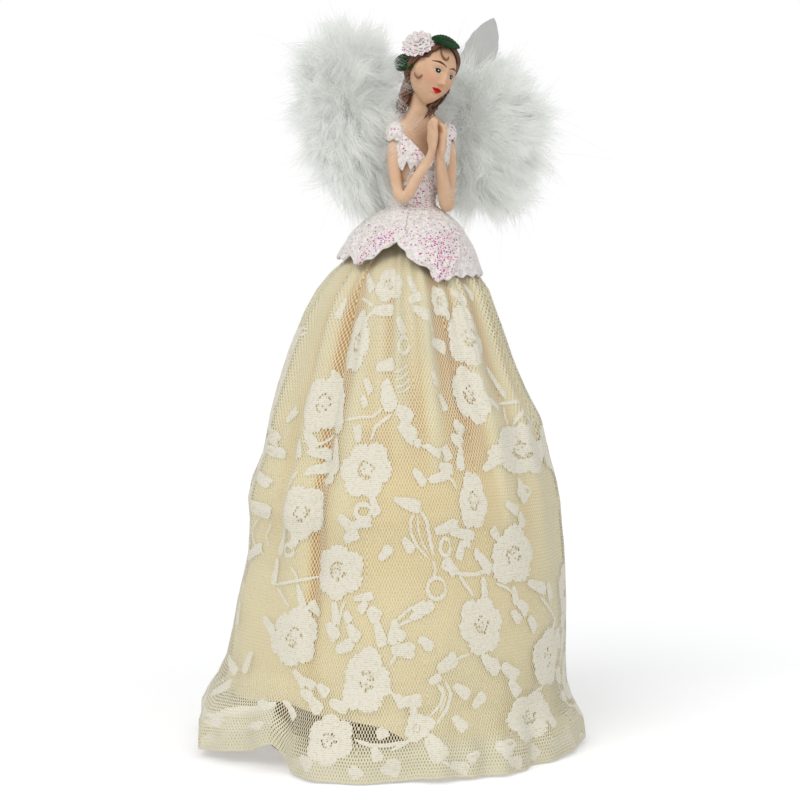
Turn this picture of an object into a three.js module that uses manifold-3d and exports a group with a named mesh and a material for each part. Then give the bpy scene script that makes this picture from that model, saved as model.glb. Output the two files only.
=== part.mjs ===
import * as THREE from 'three';
import { mergeVertices } from 'three/addons/utils/BufferGeometryUtils.js';
import Module from 'manifold-3d';

const wasm = await Module();
wasm.setup();

// An angel tree topper in millimetres, standing on the floor at z = 0 and facing -Y.
// Driving dimensions: the gap that neighbouring pieces keep, and how far a cutter passes a face.
const clear = 0.3;
const overrun = 3;

// The card cone inside the gown, which goes over the tip of the tree.
const coneHeight = 280;
const coneBaseRadius = 78;
const coneTopRadius = 15;
const cardThickness = 1.2;
const plugThickness = 10;
const plugRecess = 2;
const pegRadius = 3;
const pegStand = 20;

// The gown: a stiff net petticoat, a satin lining and the lace, gathered over the cone's top.
const hemRadius = 110;
const foldDepth = 5;
const hemLift = 24;
const collarRise = 8;
const petticoatThickness = 0.8;
const liningThickness = 0.6;
const laceThickness = 0.8;
const cordRadius = 0.9;
const cordDrop = 2;

// The figure, measured up from the cone's top.
const torsoHeight = 75;
const neckRise = 12;
const neckRadius = 4.8;
const shoulderHalfWidth = 17;
const chestHalfDepth = 12;
const shoulderShift = 6;
const shoulderLean = 8;
const waistRise = 23;
const bodiceThickness = 0.7;
const necklineWidth = 32;
const necklineDepth = 20;
const armRadius = 3.6;
const armReach = 29;
const handThickness = 3;
const handWidth = 7.6;
const sleeveHalfWidth = 6.4;
const sleeveHalfDepth = 7.6;
const sleeveHalfHeight = 9.5;

// The head, tilted and turned to its left, with its hair, flower and leaves.
const headHalfWidth = 12;
const headHalfDepth = 14;
const headHalfHeight = 17.5;
const headRise = 21;
const headShift = 8;
const headLean = 18;
const headPitch = THREE.MathUtils.degToRad(4);
const headRoll = THREE.MathUtils.degToRad(22);
const headYaw = THREE.MathUtils.degToRad(7);
const noseLength = 6;
const noseRadius = 1.9;
const hairDepth = 2.6;
const lockRadius = 3.4;
const flowerRadius = 8.6;
const flowerThickness = 2.4;
const flowerBeadRadius = 2.2;
const leafLength = 17;
const leafWidth = 8;
const leafThickness = 0.8;

// The peplum: glittered petals that hang from the waist over the gathers.
const petalCount = 5;
const petalThickness = 0.8;
const petalDrop = 40;
const petalStandOff = 0.8;
const petalCrown = 1.5;
const petalTurn = THREE.MathUtils.degToRad(5);

// The wings: each a wire stem in a channel of the felt mount, a stiff feather and two fluff masses.
const mountWidth = 21;
const mountHeight = 26;
const mountRise = 27;
const hingeSpread = 16;
const hingeSet = 13;
const mountBackWall = 1.6;
const stemRadius = 0.8;
const bladeThickness = 0.8;
const bladeWidth = 18;
const fluffDepth = 12;
const wingReach = 76;
const wingHeight = 112;
const wingSweep = THREE.MathUtils.degToRad(14);

// Facet counts.
const coneSides = 32;
const clothSides = 66;
const bodySides = 20;
const limbSides = 8;
const armSteps = 18;
const stemSteps = 20;
const headSides = 20;
const headLevels = 14;

// Value at a place between the rows of a table whose first column rises.
function along(table, place, column) {
  const last = table.length - 1;
  if (place <= table[0][0]) return table[0][column];
  if (place >= table[last][0]) return table[last][column];
  const next = table.findIndex((row) => row[0] > place);
  const low = table[next - 1];
  const high = table[next];
  const part = (place - low[0]) / (high[0] - low[0]);
  return low[column] + part * (high[column] - low[column]);
}

// Geometry from points and triangles, turned over where its faces would point inwards.
function closedGeometry(points, triangles) {
  let volume = 0;
  for (const [a, b, c] of triangles) {
    volume += points[a].dot(points[b].clone().cross(points[c]));
  }
  const ordered = volume < 0 ? triangles.map(([a, b, c]) => [a, c, b]) : triangles;
  const geometry = new THREE.BufferGeometry();
  geometry.setAttribute('position', new THREE.Float32BufferAttribute(points.flatMap((p) => p.toArray()), 3));
  geometry.setIndex(ordered.flat());
  return geometry;
}

// A closed skin over a row of rings of one count, with a fan over either end.
function skinOver(rings) {
  const count = rings[0].length;
  const points = rings.flat();
  const triangles = [];
  for (let i = 0; i < rings.length - 1; i++) {
    for (let j = 0; j < count; j++) {
      const a = i * count + j;
      const b = i * count + ((j + 1) % count);
      triangles.push([a, b, b + count], [a, b + count, a + count]);
    }
  }
  for (const [start, turned] of [[0, true], [(rings.length - 1) * count, false]]) {
    const middle = new THREE.Vector3();
    for (let j = 0; j < count; j++) middle.addScaledVector(points[start + j], 1 / count);
    points.push(middle);
    for (let j = 0; j < count; j++) {
      const a = start + j;
      const b = start + ((j + 1) % count);
      triangles.push(turned ? [b, a, points.length - 1] : [a, b, points.length - 1]);
    }
  }
  return closedGeometry(points, triangles);
}

// A thin solid between two grids of points of one size, open at the sides or joined all around.
function solidBetween(front, back, around) {
  const rows = front.length;
  const columns = front[0].length;
  const points = [...front.flat(), ...back.flat()];
  const side = rows * columns;
  const triangles = [];
  const quad = (a, b, c, d) => triangles.push([a, b, c], [a, c, d]);
  const spans = around ? columns : columns - 1;
  for (let j = 0; j < spans; j++) {
    const k = (j + 1) % columns;
    for (let i = 0; i < rows - 1; i++) {
      const low = i * columns;
      const high = low + columns;
      quad(low + j, low + k, high + k, high + j);
      quad(side + low + j, side + high + j, side + high + k, side + low + k);
    }
    const top = (rows - 1) * columns;
    quad(side + j, side + k, k, j);
    quad(top + j, top + k, side + top + k, side + top + j);
  }
  if (!around) {
    for (let i = 0; i < rows - 1; i++) {
      const low = i * columns;
      const high = low + columns;
      quad(side + low, low, high, side + high);
      quad(low + spans, side + low + spans, side + high + spans, high + spans);
    }
  }
  return closedGeometry(points, triangles);
}

// An oval of points about a centre, flat on two directions.
function oval(centre, across, deep, sides) {
  const ring = [];
  for (let j = 0; j < sides; j++) {
    const turn = (j / sides) * 2 * Math.PI;
    ring.push(centre.clone().addScaledVector(across, Math.cos(turn)).addScaledVector(deep, Math.sin(turn)));
  }
  return ring;
}

// A limb along a smooth path, as wide and as thick at each stop as its table says.
function limb(stops, sizes, steps, sides, grow) {
  const path = new THREE.CatmullRomCurve3(stops, false, 'centripetal');
  const table = sizes.map((size, i) => [i / (sizes.length - 1), ...size]);
  const rings = [];
  for (let i = 0; i <= steps; i++) {
    const place = i / steps;
    const tangent = path.getTangent(place);
    const across = new THREE.Vector3(1, 0, 0).addScaledVector(tangent, -tangent.x).normalize();
    const deep = new THREE.Vector3().crossVectors(tangent, across);
    const wide = along(table, place, 1) + grow;
    const thick = along(table, place, 2) + grow;
    rings.push(oval(path.getPoint(place), across.multiplyScalar(wide), deep.multiplyScalar(thick), sides));
  }
  return skinOver(rings);
}

// Booleans: a closed geometry as a solid, and a solid as a geometry.
function solidOf(geometry) {
  const bare = geometry.clone();
  bare.deleteAttribute('normal');
  bare.deleteAttribute('uv');
  const merged = mergeVertices(bare);
  const vertProperties = new Float32Array(merged.attributes.position.array);
  const triVerts = new Uint32Array(merged.index.array);
  return new wasm.Manifold(new wasm.Mesh({ numProp: 3, vertProperties, triVerts }));
}

function geometryOf(solid) {
  const mesh = solid.getMesh();
  const geometry = new THREE.BufferGeometry();
  geometry.setAttribute('position', new THREE.BufferAttribute(new Float32Array(mesh.vertProperties), 3));
  geometry.setIndex(new THREE.BufferAttribute(new Uint32Array(mesh.triVerts), 1));
  return geometry;
}

function ball(centre, wide, deep, high, around, up) {
  const geometry = new THREE.SphereGeometry(1, around, up);
  geometry.rotateX(Math.PI / 2);
  geometry.scale(wide, deep, high);
  geometry.translate(centre.x, centre.y, centre.z);
  return geometry;
}

function block(low, high) {
  const size = high.clone().sub(low);
  const middle = low.clone().add(high).multiplyScalar(0.5);
  return new THREE.BoxGeometry(size.x, size.y, size.z).translate(middle.x, middle.y, middle.z);
}

function upright(radius, low, high, x, y, sides) {
  const geometry = new THREE.CylinderGeometry(radius, radius, high - low, sides);
  return geometry.rotateX(Math.PI / 2).translate(x, y, (low + high) / 2);
}

const group = new THREE.Group();

function addMesh(parent, name, geometry, color, roughness, metalness) {
  const mesh = new THREE.Mesh(geometry, new THREE.MeshStandardMaterial({ color, roughness, metalness }));
  mesh.name = name;
  parent.add(mesh);
  return mesh;
}

// Card cone: a rolled and glued cone, open at the bottom, with a plug in its narrow end.
const coneSlope = (coneBaseRadius - coneTopRadius) / coneHeight;
const cardAcross = cardThickness * Math.hypot(1, coneSlope);
const coneOuter = (z) => coneBaseRadius - coneSlope * z;
const coneInner = (z) => coneOuter(z) - cardAcross;
const coneProfile = [
  new THREE.Vector2(coneInner(0), 0),
  new THREE.Vector2(coneOuter(0), 0),
  new THREE.Vector2(coneOuter(coneHeight), coneHeight),
  new THREE.Vector2(coneInner(coneHeight), coneHeight),
  new THREE.Vector2(coneInner(0), 0),
];
const coneGeometry = new THREE.LatheGeometry(coneProfile, coneSides).rotateX(Math.PI / 2);
addMesh(group, 'cone_core', coneGeometry, 0xd9cdb4, 0.85, 0);

const plugTop = coneHeight - plugRecess;
const plugBottom = plugTop - plugThickness;
const facetShare = Math.cos(Math.PI / coneSides);
const plugProfile = [
  new THREE.Vector2(pegRadius + clear, plugBottom),
  new THREE.Vector2((coneInner(plugBottom) - clear) * facetShare, plugBottom),
  new THREE.Vector2((coneInner(plugTop) - clear) * facetShare, plugTop),
  new THREE.Vector2(pegRadius + clear, plugTop),
  new THREE.Vector2(pegRadius + clear, plugBottom),
];
const plugGeometry = new THREE.LatheGeometry(plugProfile, coneSides).rotateX(Math.PI / 2);
addMesh(group, 'top_plug', plugGeometry, 0xb98f5c, 0.7, 0);
const pegTop = coneHeight + pegStand;
addMesh(group, 'waist_peg', upright(pegRadius, plugBottom, pegTop, 0, 0, bodySides), 0xc49a66, 0.7, 0);

// Gown: one fold wave runs through all its layers, so that they nest at every height.
const skirtHeight = coneHeight + collarRise;
const layersThickness = petticoatThickness + liningThickness + laceThickness + 3 * clear;
const collarFoldShare = 0.12;
const collarRadius = coneTopRadius + layersThickness + collarFoldShare * foldDepth + clear;

// Each row: share of the gown's height, share of its spread.
const skirtShares = [
  [0, 1],
  [0.083, 0.929],
  [0.17, 0.849],
  [0.278, 0.814],
  [0.382, 0.765],
  [0.476, 0.749],
  [0.521, 0.723],
  [0.59, 0.653],
  [0.698, 0.545],
  [0.799, 0.424],
  [0.889, 0.309],
  [0.944, 0.162],
  [0.983, 0.012],
  [1, 0],
];
const skirtSpread = (z) => along(skirtShares, z / skirtHeight, 1);
const skirtMean = (z) => collarRadius + skirtSpread(z) * (hemRadius - collarRadius);

// Folds are full over most of the gown and are drawn in towards its collar.
const foldDrawnShares = [0.8, 0.985];
function foldReach(z) {
  const drawn = THREE.MathUtils.smoothstep(z / skirtHeight, ...foldDrawnShares);
  return foldDepth * THREE.MathUtils.lerp(1, collarFoldShare, drawn);
}

// Each row is a fold that hangs from the collar, or a furrow where its depth is below zero. Shares of
// a half turn: where it starts, how far it drifts on its way down and its width. Then its share of the
// fold depth, the share of the gown's height where it has faded, and its steep side's share of width.
const foldShares = [
  [0.989, -0.03, 0.051, 0.72, 0.1, 0.6],
  [1.094, 0.02, 0.035, 0.72, 0.17, 0.5],
  [1.167, 0.01, 0.0175, -0.72, 0.07, 0.9],
  [1.244, -0.035, 0.029, 0.64, 0.35, 0.6],
  [1.333, 0.03, 0.029, 0.64, 0.52, 0.5],
  [1.422, 0.02, 0.027, 0.64, 0.49, 0.5],
  [1.489, 0.07, 0.019, -0.52, 0.52, 0.8],
  [1.572, 0.035, 0.032, 0.64, 0.35, 0.5],
  [1.683, 0.03, 0.038, 0.56, 0.21, 0.8],
  [1.806, 0.02, 0.041, 0.6, 0.14, 0.6],
];
const foldFadeShare = 0.35;
const broadFoldShares = [0.6, 0.4];
const broadFoldTopShares = [0.94, 0.59];
const broadHemShares = [0.22, 0.3];
const ruffleShare = 0.72;
const ruffleTopShare = 0.16;
const ruffleCount = 8;
const ruffleWander = THREE.MathUtils.degToRad(34);
const broadFoldStarts = [THREE.MathUtils.degToRad(23), THREE.MathUtils.degToRad(120)];

// The wave is the same on opposite sides, which keeps the hem centred on the cone.
function foldWave(turn, z) {
  const rise = z / skirtHeight;
  let wave = 0;
  for (const [start, drift, width, depth, foot, steep] of foldShares) {
    const lasting = depth * THREE.MathUtils.smoothstep(rise, foot, foot + foldFadeShare);
    const level = (Math.PI * width * (1 + steep)) / (4 * Math.sqrt(Math.PI));
    for (const half of [0, 1]) {
      const aside = turn - Math.PI * (start + half + drift * (1 - rise));
      const near = Math.atan2(Math.sin(aside), Math.cos(aside)) / (Math.PI * width);
      wave += lasting * (Math.exp(-((near > 0 ? near : near / steep) ** 2)) - level);
    }
  }
  const wide = Math.cos(6 * turn + broadFoldStarts[0]) * broadFoldShares[0];
  const wider = Math.cos(4 * turn + broadFoldStarts[1]) * broadFoldShares[1];
  const hemward = broadHemShares[0] + broadHemShares[1] * (1 - THREE.MathUtils.smoothstep(rise, 0, 1 / 2));
  wave += (wide + wider) * hemward * (1 - THREE.MathUtils.smoothstep(rise, broadFoldTopShares[1], broadFoldTopShares[0]));
  const ruffle = Math.cos(ruffleCount * turn + ruffleWander * Math.sin(2 * turn));
  wave += ruffleShare * ruffle * (1 - THREE.MathUtils.smoothstep(rise, 0, ruffleTopShare));
  return THREE.MathUtils.clamp(wave, -1, 1);
}

function clothGrid(heights, sides, radiusAt) {
  return heights.map((z) => {
    const row = [];
    for (let j = 0; j < sides; j++) {
      const turn = (j / sides) * 2 * Math.PI;
      const radius = radiusAt(turn, z);
      row.push(new THREE.Vector3(radius * Math.cos(turn), radius * Math.sin(turn), z));
    }
    return row;
  });
}

const upperRows = skirtShares.slice(2).map((row) => row[0] * skirtHeight);
const laceRows = [0, hemLift, ...upperRows];
const innerRows = [hemLift, ...upperRows];
const laceRadius = (turn, z) => skirtMean(z) + foldReach(z) * foldWave(turn, z);
const foldedLayer = (rows, set, thickness) => solidBetween(
  clothGrid(rows, clothSides, (turn, z) => laceRadius(turn, z) - set),
  clothGrid(rows, clothSides, (turn, z) => laceRadius(turn, z) - set - thickness),
  true,
);
const liningSet = laceThickness + clear;
const petticoatSet = liningSet + liningThickness + clear;
const petticoatRadius = (turn, z) => skirtMean(z) - foldReach(z) - petticoatSet;
const petticoatGeometry = solidBetween(
  clothGrid(innerRows, clothSides / 2, petticoatRadius),
  clothGrid(innerRows, clothSides / 2, (turn, z) => petticoatRadius(turn, z) - petticoatThickness),
  true,
);
addMesh(group, 'petticoat', petticoatGeometry, 0xf2ead8, 0.8, 0);
addMesh(group, 'satin_lining', foldedLayer(innerRows, liningSet, liningThickness), 0xdcc690, 0.45, 0);
addMesh(group, 'lace_skirt', foldedLayer(laceRows, 0, laceThickness), 0xe9e2c6, 0.85, 0);

// Cord that ties the gathers, round the narrow collar at the top of the gown.
const cordHeight = skirtHeight - cordDrop;
const cordFoot = cordHeight - cordRadius;
const cordRing = skirtMean(cordFoot) + foldReach(cordFoot) + clear + cordRadius;
const cordGeometry = new THREE.TorusGeometry(cordRing, cordRadius, limbSides, clothSides / 2);
addMesh(group, 'gathering_cord', cordGeometry, 0xefe6cf, 0.7, 0).position.z = cordHeight;

// Figure: it stands on the cone's rim, and its own group starts there.
const figure = new THREE.Group();
figure.position.z = coneHeight + clear;
group.add(figure);

// Each row: share of the torso's height, share of its lean, half width share, half depth share.
const torsoShares = [
  [0.12, 0.17, 0.84, 1.09],
  [0.27, 0.46, 0.79, 0.93],
  [0.36, 0.54, 0.77, 0.86],
  [0.49, 0.67, 0.82, 0.9],
  [0.63, 0.85, 0.92, 1],
  [0.72, 0.94, 0.97, 0.95],
  [0.81, 1, 0.99, 0.81],
  [0.88, 1, 0.91, 0.68],
  [0.93, 1.01, 0.71, 0.58],
  [0.97, 1.04, 0.47, 0.5],
];
const spineAt = (z) => {
  const lean = along([[0, 0], ...torsoShares], z / torsoHeight, 1);
  return new THREE.Vector3(shoulderShift * lean, -shoulderLean * lean, z);
};
const neckForwardShare = 0.25;
const neckBase = new THREE.Vector3(shoulderShift, -shoulderLean - neckForwardShare * neckRadius, torsoHeight);
const neckTop = new THREE.Vector3(
  (shoulderShift + headShift) / 2, -(shoulderLean + headLean) / 2, torsoHeight + neckRise);

function torsoSolid(grow) {
  const wide = new THREE.Vector3(1, 0, 0);
  const deep = new THREE.Vector3(0, 1, 0);
  const seat = coneTopRadius - cardThickness / 2 + grow;
  const level = (centre, a, b) => oval(
    centre, wide.clone().multiplyScalar(a), deep.clone().multiplyScalar(b), bodySides);
  const rings = [level(new THREE.Vector3(), seat, seat)];
  for (const [heightShare, , widthShare, depthShare] of torsoShares) {
    const halfWidth = widthShare * shoulderHalfWidth + grow;
    const halfDepth = depthShare * chestHalfDepth + grow;
    rings.push(level(spineAt(heightShare * torsoHeight), halfWidth, halfDepth));
  }
  rings.push(level(neckBase, neckRadius + grow, neckRadius + grow));
  rings.push(level(neckTop, neckRadius + grow, neckRadius + grow));
  return solidOf(skinOver(rings));
}
const torsoBody = torsoSolid(0);
const socket = solidOf(upright(pegRadius + clear, -overrun, pegStand + clear, 0, 0, bodySides));
addMesh(figure, 'torso', geometryOf(torsoBody.subtract(socket)), 0xcfa083, 0.55, 0);

// Arms: shoulder, upper arm, elbow, forearm, wrist, palm and fingertips, mirrored about the spine.
// Each row: share of the shoulder's half width, of the reach and of the torso's height.
const armShares = [
  [0.84, 0.28, 0.85],
  [1.0, 0.3, 0.77],
  [0.98, 0.36, 0.6],
  [0.76, 0.53, 0.36],
  [0.47, 0.74, 0.5],
];
const wristShares = [[0.93, 0.69], [0.98, 0.82], [1, 0.975]];
const armSizeShares = [1, 1, 0.86, 0.92, 0.72];
const handShares = [[0.7, 0.32], [1, 0.5], [0.5, 0.22]];

function armSolid(side, grow) {
  const stops = armShares.map(([out, forward, up]) => {
    const spine = spineAt(up * torsoHeight);
    return new THREE.Vector3(spine.x + side * out * shoulderHalfWidth, -forward * armReach, spine.z);
  });
  const palm = shoulderShift + side * (handThickness / 2 + clear / 2);
  for (const [forward, up] of wristShares) {
    stops.push(new THREE.Vector3(palm, -forward * armReach, up * torsoHeight));
  }
  const round = armSizeShares.map((share) => [share * armRadius, share * armRadius]);
  const hand = handShares.map(([thick, wide]) => [(thick * handThickness) / 2, wide * handWidth]);
  return solidOf(limb(stops, [...round, ...hand], armSteps, limbSides, grow));
}

// Bodice: a thin glittered shell with a deep V neck, open at the arms.
const waistHeight = waistRise - clear;
const bodiceOuter = torsoSolid(clear + bodiceThickness);
const necklineHighShare = 0.9;
const bodiceTopShare = 0.84;
const sleeveRiseShare = 0.82;
const necklineHigh = necklineHighShare * torsoHeight;
const necklineLow = necklineHigh - necklineDepth;
const neckline = new THREE.Shape();
neckline.moveTo(0, necklineLow);
neckline.lineTo(necklineWidth, necklineHigh + (necklineHigh - necklineLow));
neckline.lineTo(-necklineWidth, necklineHigh + (necklineHigh - necklineLow));
neckline.closePath();
const necklineCutter = new THREE.ExtrudeGeometry(neckline, { depth: armReach, bevelEnabled: false });
necklineCutter.rotateX(Math.PI / 2).translate(shoulderShift, -shoulderLean, 0);
const span = 2 * shoulderHalfWidth;
const bodiceZone = solidOf(block(
  new THREE.Vector3(-span, -span, waistHeight),
  new THREE.Vector3(span, span, bodiceTopShare * torsoHeight),
));
let bodice = bodiceOuter.subtract(torsoSolid(clear)).intersect(bodiceZone);
bodice = bodice.subtract(solidOf(necklineCutter));
for (const side of [-1, 1]) bodice = bodice.subtract(armSolid(side, clear));
addMesh(figure, 'bodice', geometryOf(bodice), 0xe2cdd6, 0.5, 0);

for (const [name, side] of [['right', -1], ['left', 1]]) {
  const arm = armSolid(side, 0).subtract(torsoSolid(clear));
  addMesh(figure, `${name}_arm`, geometryOf(arm), 0xd2a684, 0.55, 0);
  const joint = spineAt(sleeveRiseShare * torsoHeight);
  joint.x += side * (shoulderHalfWidth - clear);
  const cap = solidOf(ball(joint, sleeveHalfWidth, sleeveHalfDepth, sleeveHalfHeight, headSides, headLevels));
  const sleeve = cap.subtract(armSolid(side, clear)).subtract(torsoSolid(bodiceThickness + 2 * clear));
  addMesh(figure, `${name}_sleeve`, geometryOf(sleeve), 0xe6d5dc, 0.5, 0);
}

// Peplum: petals in a ring, rooted under the bodice's edge, with their tips on the gown.
const rootHeight = waistHeight - clear;
const rootSpine = spineAt(rootHeight);
const rootHalfWidth = along(torsoShares, rootHeight / torsoHeight, 2) * shoulderHalfWidth + 2 * clear;
const rootHalfDepth = along(torsoShares, rootHeight / torsoHeight, 3) * chestHalfDepth + 2 * clear;
const tipHeight = rootHeight - petalDrop;
const tipLevel = tipHeight + coneHeight + clear;
const tipRadius = skirtMean(tipLevel) + foldReach(tipLevel) + petalStandOff + petalThickness;

// Each row: share of the petal's length, share of its reach, of its drop and of its width.
const petalShares = [
  [0, 0, 0, 1],
  [0.15, 0.16, 0.06, 1],
  [0.35, 0.38, 0.2, 1],
  [0.55, 0.58, 0.39, 0.98],
  [0.72, 0.74, 0.57, 0.88],
  [0.87, 0.89, 0.78, 0.62],
  [1, 1, 1, 0.24],
];

function petalPoint(turn, across, length) {
  const reach = along(petalShares, length, 1);
  const radius = THREE.MathUtils.lerp(rootHalfDepth, tipRadius, reach);
  const gap = (petalThickness + clear) / radius;
  const half = (Math.PI / petalCount - gap) * along(petalShares, length, 3);
  const angle = turn + across * half;
  const out = new THREE.Vector2(Math.sin(angle), -Math.cos(angle));
  const root = new THREE.Vector2(rootSpine.x + rootHalfWidth * out.x, rootSpine.y + rootHalfDepth * out.y);
  const crown = petalCrown * (1 - across * across) * Math.sin(Math.PI * length);
  const place = root.lerp(out.clone().multiplyScalar(tipRadius), reach).addScaledVector(out, crown);
  return new THREE.Vector3(place.x, place.y, rootHeight - petalDrop * along(petalShares, length, 2));
}

// A sheet's two faces: the points of a surface, and the same points set along its normals.
const slopeStepShare = 0.01;
function sheetSolid(surface, rows, columns, thickness) {
  const front = [];
  const back = [];
  for (const length of rows) {
    const upper = [];
    const lower = [];
    for (const across of columns) {
      const here = surface(across, length);
      const shifted = Math.min(length, 1 - slopeStepShare);
      const base = surface(across, shifted);
      const down = surface(across, shifted + slopeStepShare).sub(base);
      const wide = surface(across + slopeStepShare, shifted).sub(base);
      const normal = wide.cross(down).normalize();
      upper.push(here);
      lower.push(here.clone().addScaledVector(normal, thickness));
    }
    front.push(upper);
    back.push(lower);
  }
  return solidBetween(front, back, false);
}
const petalColumnShares = [-1, -0.75, -0.5, -0.25, 0, 0.25, 0.5, 0.75, 1];
const petalNames = ['front', 'left', 'back_left', 'back_right', 'right'];
for (let k = 0; k < petalCount; k++) {
  const turn = petalTurn + (k / petalCount) * 2 * Math.PI;
  const rows = petalShares.map((row) => row[0]);
  const surface = (across, length) => petalPoint(turn, across, length);
  const geometry = sheetSolid(surface, rows, petalColumnShares, petalThickness);
  addMesh(figure, `peplum_petal_${petalNames[k % petalNames.length]}`, geometry, 0xdcc6d2, 0.5, 0);
}

// Head: an egg with a drawn-in chin and a small nose, seated on the neck.
const bowed = new THREE.Group();
bowed.position.set(headShift, -headLean, torsoHeight + headRise);
bowed.rotation.set(headPitch, headRoll, headYaw, 'ZYX');
figure.add(bowed);
bowed.updateMatrix();
const intoHead = bowed.matrix.clone().invert();

// Shares of the head's sizes by which its lower half narrows and comes forward at the chin.
const chinNarrowShare = 0.38;
const chinForwardShare = 0.28;
const noseRiseShare = -0.2;
const noseSlope = THREE.MathUtils.degToRad(75);

function headEgg(grow) {
  const geometry = ball(new THREE.Vector3(), 1, 1, 1, headSides, headLevels);
  const places = geometry.attributes.position;
  for (let i = 0; i < places.count; i++) {
    const p = new THREE.Vector3().fromBufferAttribute(places, i);
    const low = Math.max(0, -p.z);
    const narrow = 1 - chinNarrowShare * low ** 2;
    const forward = chinForwardShare * low ** 2;
    places.setXYZ(
      i,
      p.x * (headHalfWidth * narrow + grow),
      p.y * (headHalfDepth * narrow + grow) - forward * headHalfDepth,
      p.z * (headHalfHeight + grow),
    );
  }
  return solidOf(geometry);
}
const headInHead = (solid) => solidOf(geometryOf(solid).applyMatrix4(intoHead));
const nose = new THREE.ConeGeometry(noseRadius, noseLength, limbSides);
nose.rotateX(noseSlope).translate(0, -headHalfDepth, noseRiseShare * headHalfHeight);
const headSolid = headEgg(0).add(solidOf(nose)).subtract(headInHead(torsoSolid(clear)));
addMesh(bowed, 'head', geometryOf(headSolid), 0xd0a389, 0.55, 0);

// Hair: a swept-back cap that frames the face, a fall at the nape and a lock on each side.
// Shares of the head's half width, half depth and half height, for places and for sizes.
const inHeadShares = ([out, back, up]) => new THREE.Vector3(
  out * headHalfWidth, back * headHalfDepth, up * headHalfHeight);
const hairCentreShares = [0, 0.1, 0.08];
const faceCutPlaceShares = [0, -1.12, -0.2];
const faceCutSizeShares = [1.02, 1, 0.98];
const hairCentre = inHeadShares(hairCentreShares);
const faceCutSize = inHeadShares(faceCutSizeShares);
const hairCap = ball(
  hairCentre, headHalfWidth + hairDepth, headHalfDepth + hairDepth, headHalfHeight + hairDepth / 2,
  headSides, headLevels);
const faceCutter = ball(
  inHeadShares(faceCutPlaceShares), faceCutSize.x, faceCutSize.y, faceCutSize.z, headSides, headLevels);
const lockSizeShares = [0.9, 1, 0.8, 0.35];
const lockSizes = lockSizeShares.map((share) => [share * lockRadius, share * lockRadius]);
const lockShares = [
  [0.62, 0.55, -0.2],
  [0.5, 0.72, -0.62],
  [0.42, 0.78, -1],
  [0.4, 0.7, -1.3],
];
let hair = solidOf(hairCap);
for (const side of [-1, 1]) {
  const stops = lockShares.map(([out, back, up]) => inHeadShares([side * out, back, up]));
  hair = hair.add(solidOf(limb(stops, lockSizes, 6, limbSides, 0)));
}
hair = hair.subtract(headEgg(clear)).subtract(solidOf(faceCutter));
hair = hair.subtract(headInHead(torsoSolid(bodiceThickness + 2 * clear)));
addMesh(bowed, 'hair', geometryOf(hair), 0x4a2f26, 0.6, 0);

// Flower and leaves, each seated on the hair. The flower is tipped forward, to face the front.
function seatOnHair(mesh, direction, lift, spin, facing = direction) {
  const aim = direction.clone().normalize();
  const reach = new THREE.Vector3(
    aim.x / (headHalfWidth + hairDepth),
    aim.y / (headHalfDepth + hairDepth),
    aim.z / (headHalfHeight + hairDepth / 2),
  ).length();
  mesh.position.copy(hairCentre).addScaledVector(aim, 1 / reach + lift);
  mesh.quaternion.setFromUnitVectors(new THREE.Vector3(0, 0, 1), facing.clone().normalize());
  mesh.rotateZ(spin);
  return mesh;
}

const bloom = new THREE.Shape();
const bloomPoints = 40;
const bloomDipShare = 0.1;
for (let i = 0; i <= bloomPoints; i++) {
  const turn = (i / bloomPoints) * 2 * Math.PI;
  const radius = flowerRadius * (1 - bloomDipShare + bloomDipShare * Math.cos(5 * turn));
  const x = radius * Math.cos(turn);
  const y = radius * Math.sin(turn);
  if (i === 0) bloom.moveTo(x, y);
  else bloom.lineTo(x, y);
}
const flowerLift = 4 * clear;
const flowerAim = new THREE.Vector3(-0.85, -0.1, 0.52);
const flowerFacing = new THREE.Vector3(-0.8, -0.4, 0.44);
const bloomGeometry = new THREE.ExtrudeGeometry(bloom, { depth: flowerThickness, bevelEnabled: false });
const flower = addMesh(bowed, 'head_flower', bloomGeometry, 0xd6ccd2, 0.5, 0);
seatOnHair(flower, flowerAim, flowerLift, 0, flowerFacing);
const beadGeometry = ball(
  new THREE.Vector3(), flowerBeadRadius, flowerBeadRadius, flowerBeadRadius, limbSides, limbSides);
const beadLift = flowerThickness + clear + flowerBeadRadius;
const bead = addMesh(bowed, 'flower_centre', beadGeometry, 0xe0d2da, 0.4, 0);
bead.position.copy(flower.position).addScaledVector(flowerFacing.clone().normalize(), beadLift);

// A leaf bends down over the hair on a radius of one and a half times its length.
const leafEndShare = 0.06;
const leafBulge = 0.8;
const leafRowShares = [0, 0.2, 0.4, 0.6, 0.8, 1];
const leafColumnShares = [-1, -0.5, 0, 0.5, 1];
function leafGeometry() {
  const surface = (across, length) => {
    const place = THREE.MathUtils.lerp(leafEndShare, 1 - leafEndShare, length);
    const half = (leafWidth / 2) * Math.sin(Math.PI * place) ** leafBulge;
    const x = (length - 1 / 2) * leafLength;
    const sag = (x * x + (across * half) ** 2) / (3 * leafLength);
    return new THREE.Vector3(x, across * half, -sag);
  };
  return sheetSolid(surface, leafRowShares, leafColumnShares, leafThickness);
}
const leafLift = leafThickness + 2 * clear;
const leafFrontTurn = THREE.MathUtils.degToRad(-15);
const leafFront = addMesh(bowed, 'head_leaf_front', leafGeometry(), 0x0d3a14, 0.45, 0);
seatOnHair(leafFront, new THREE.Vector3(-0.12, -0.6, 0.79), leafLift, leafFrontTurn);
const leafSide = addMesh(bowed, 'head_leaf_side', leafGeometry(), 0x12401c, 0.45, 0);
seatOnHair(leafSide, new THREE.Vector3(-0.88, 0.46, -0.1), leafLift, Math.PI / 2);

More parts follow.
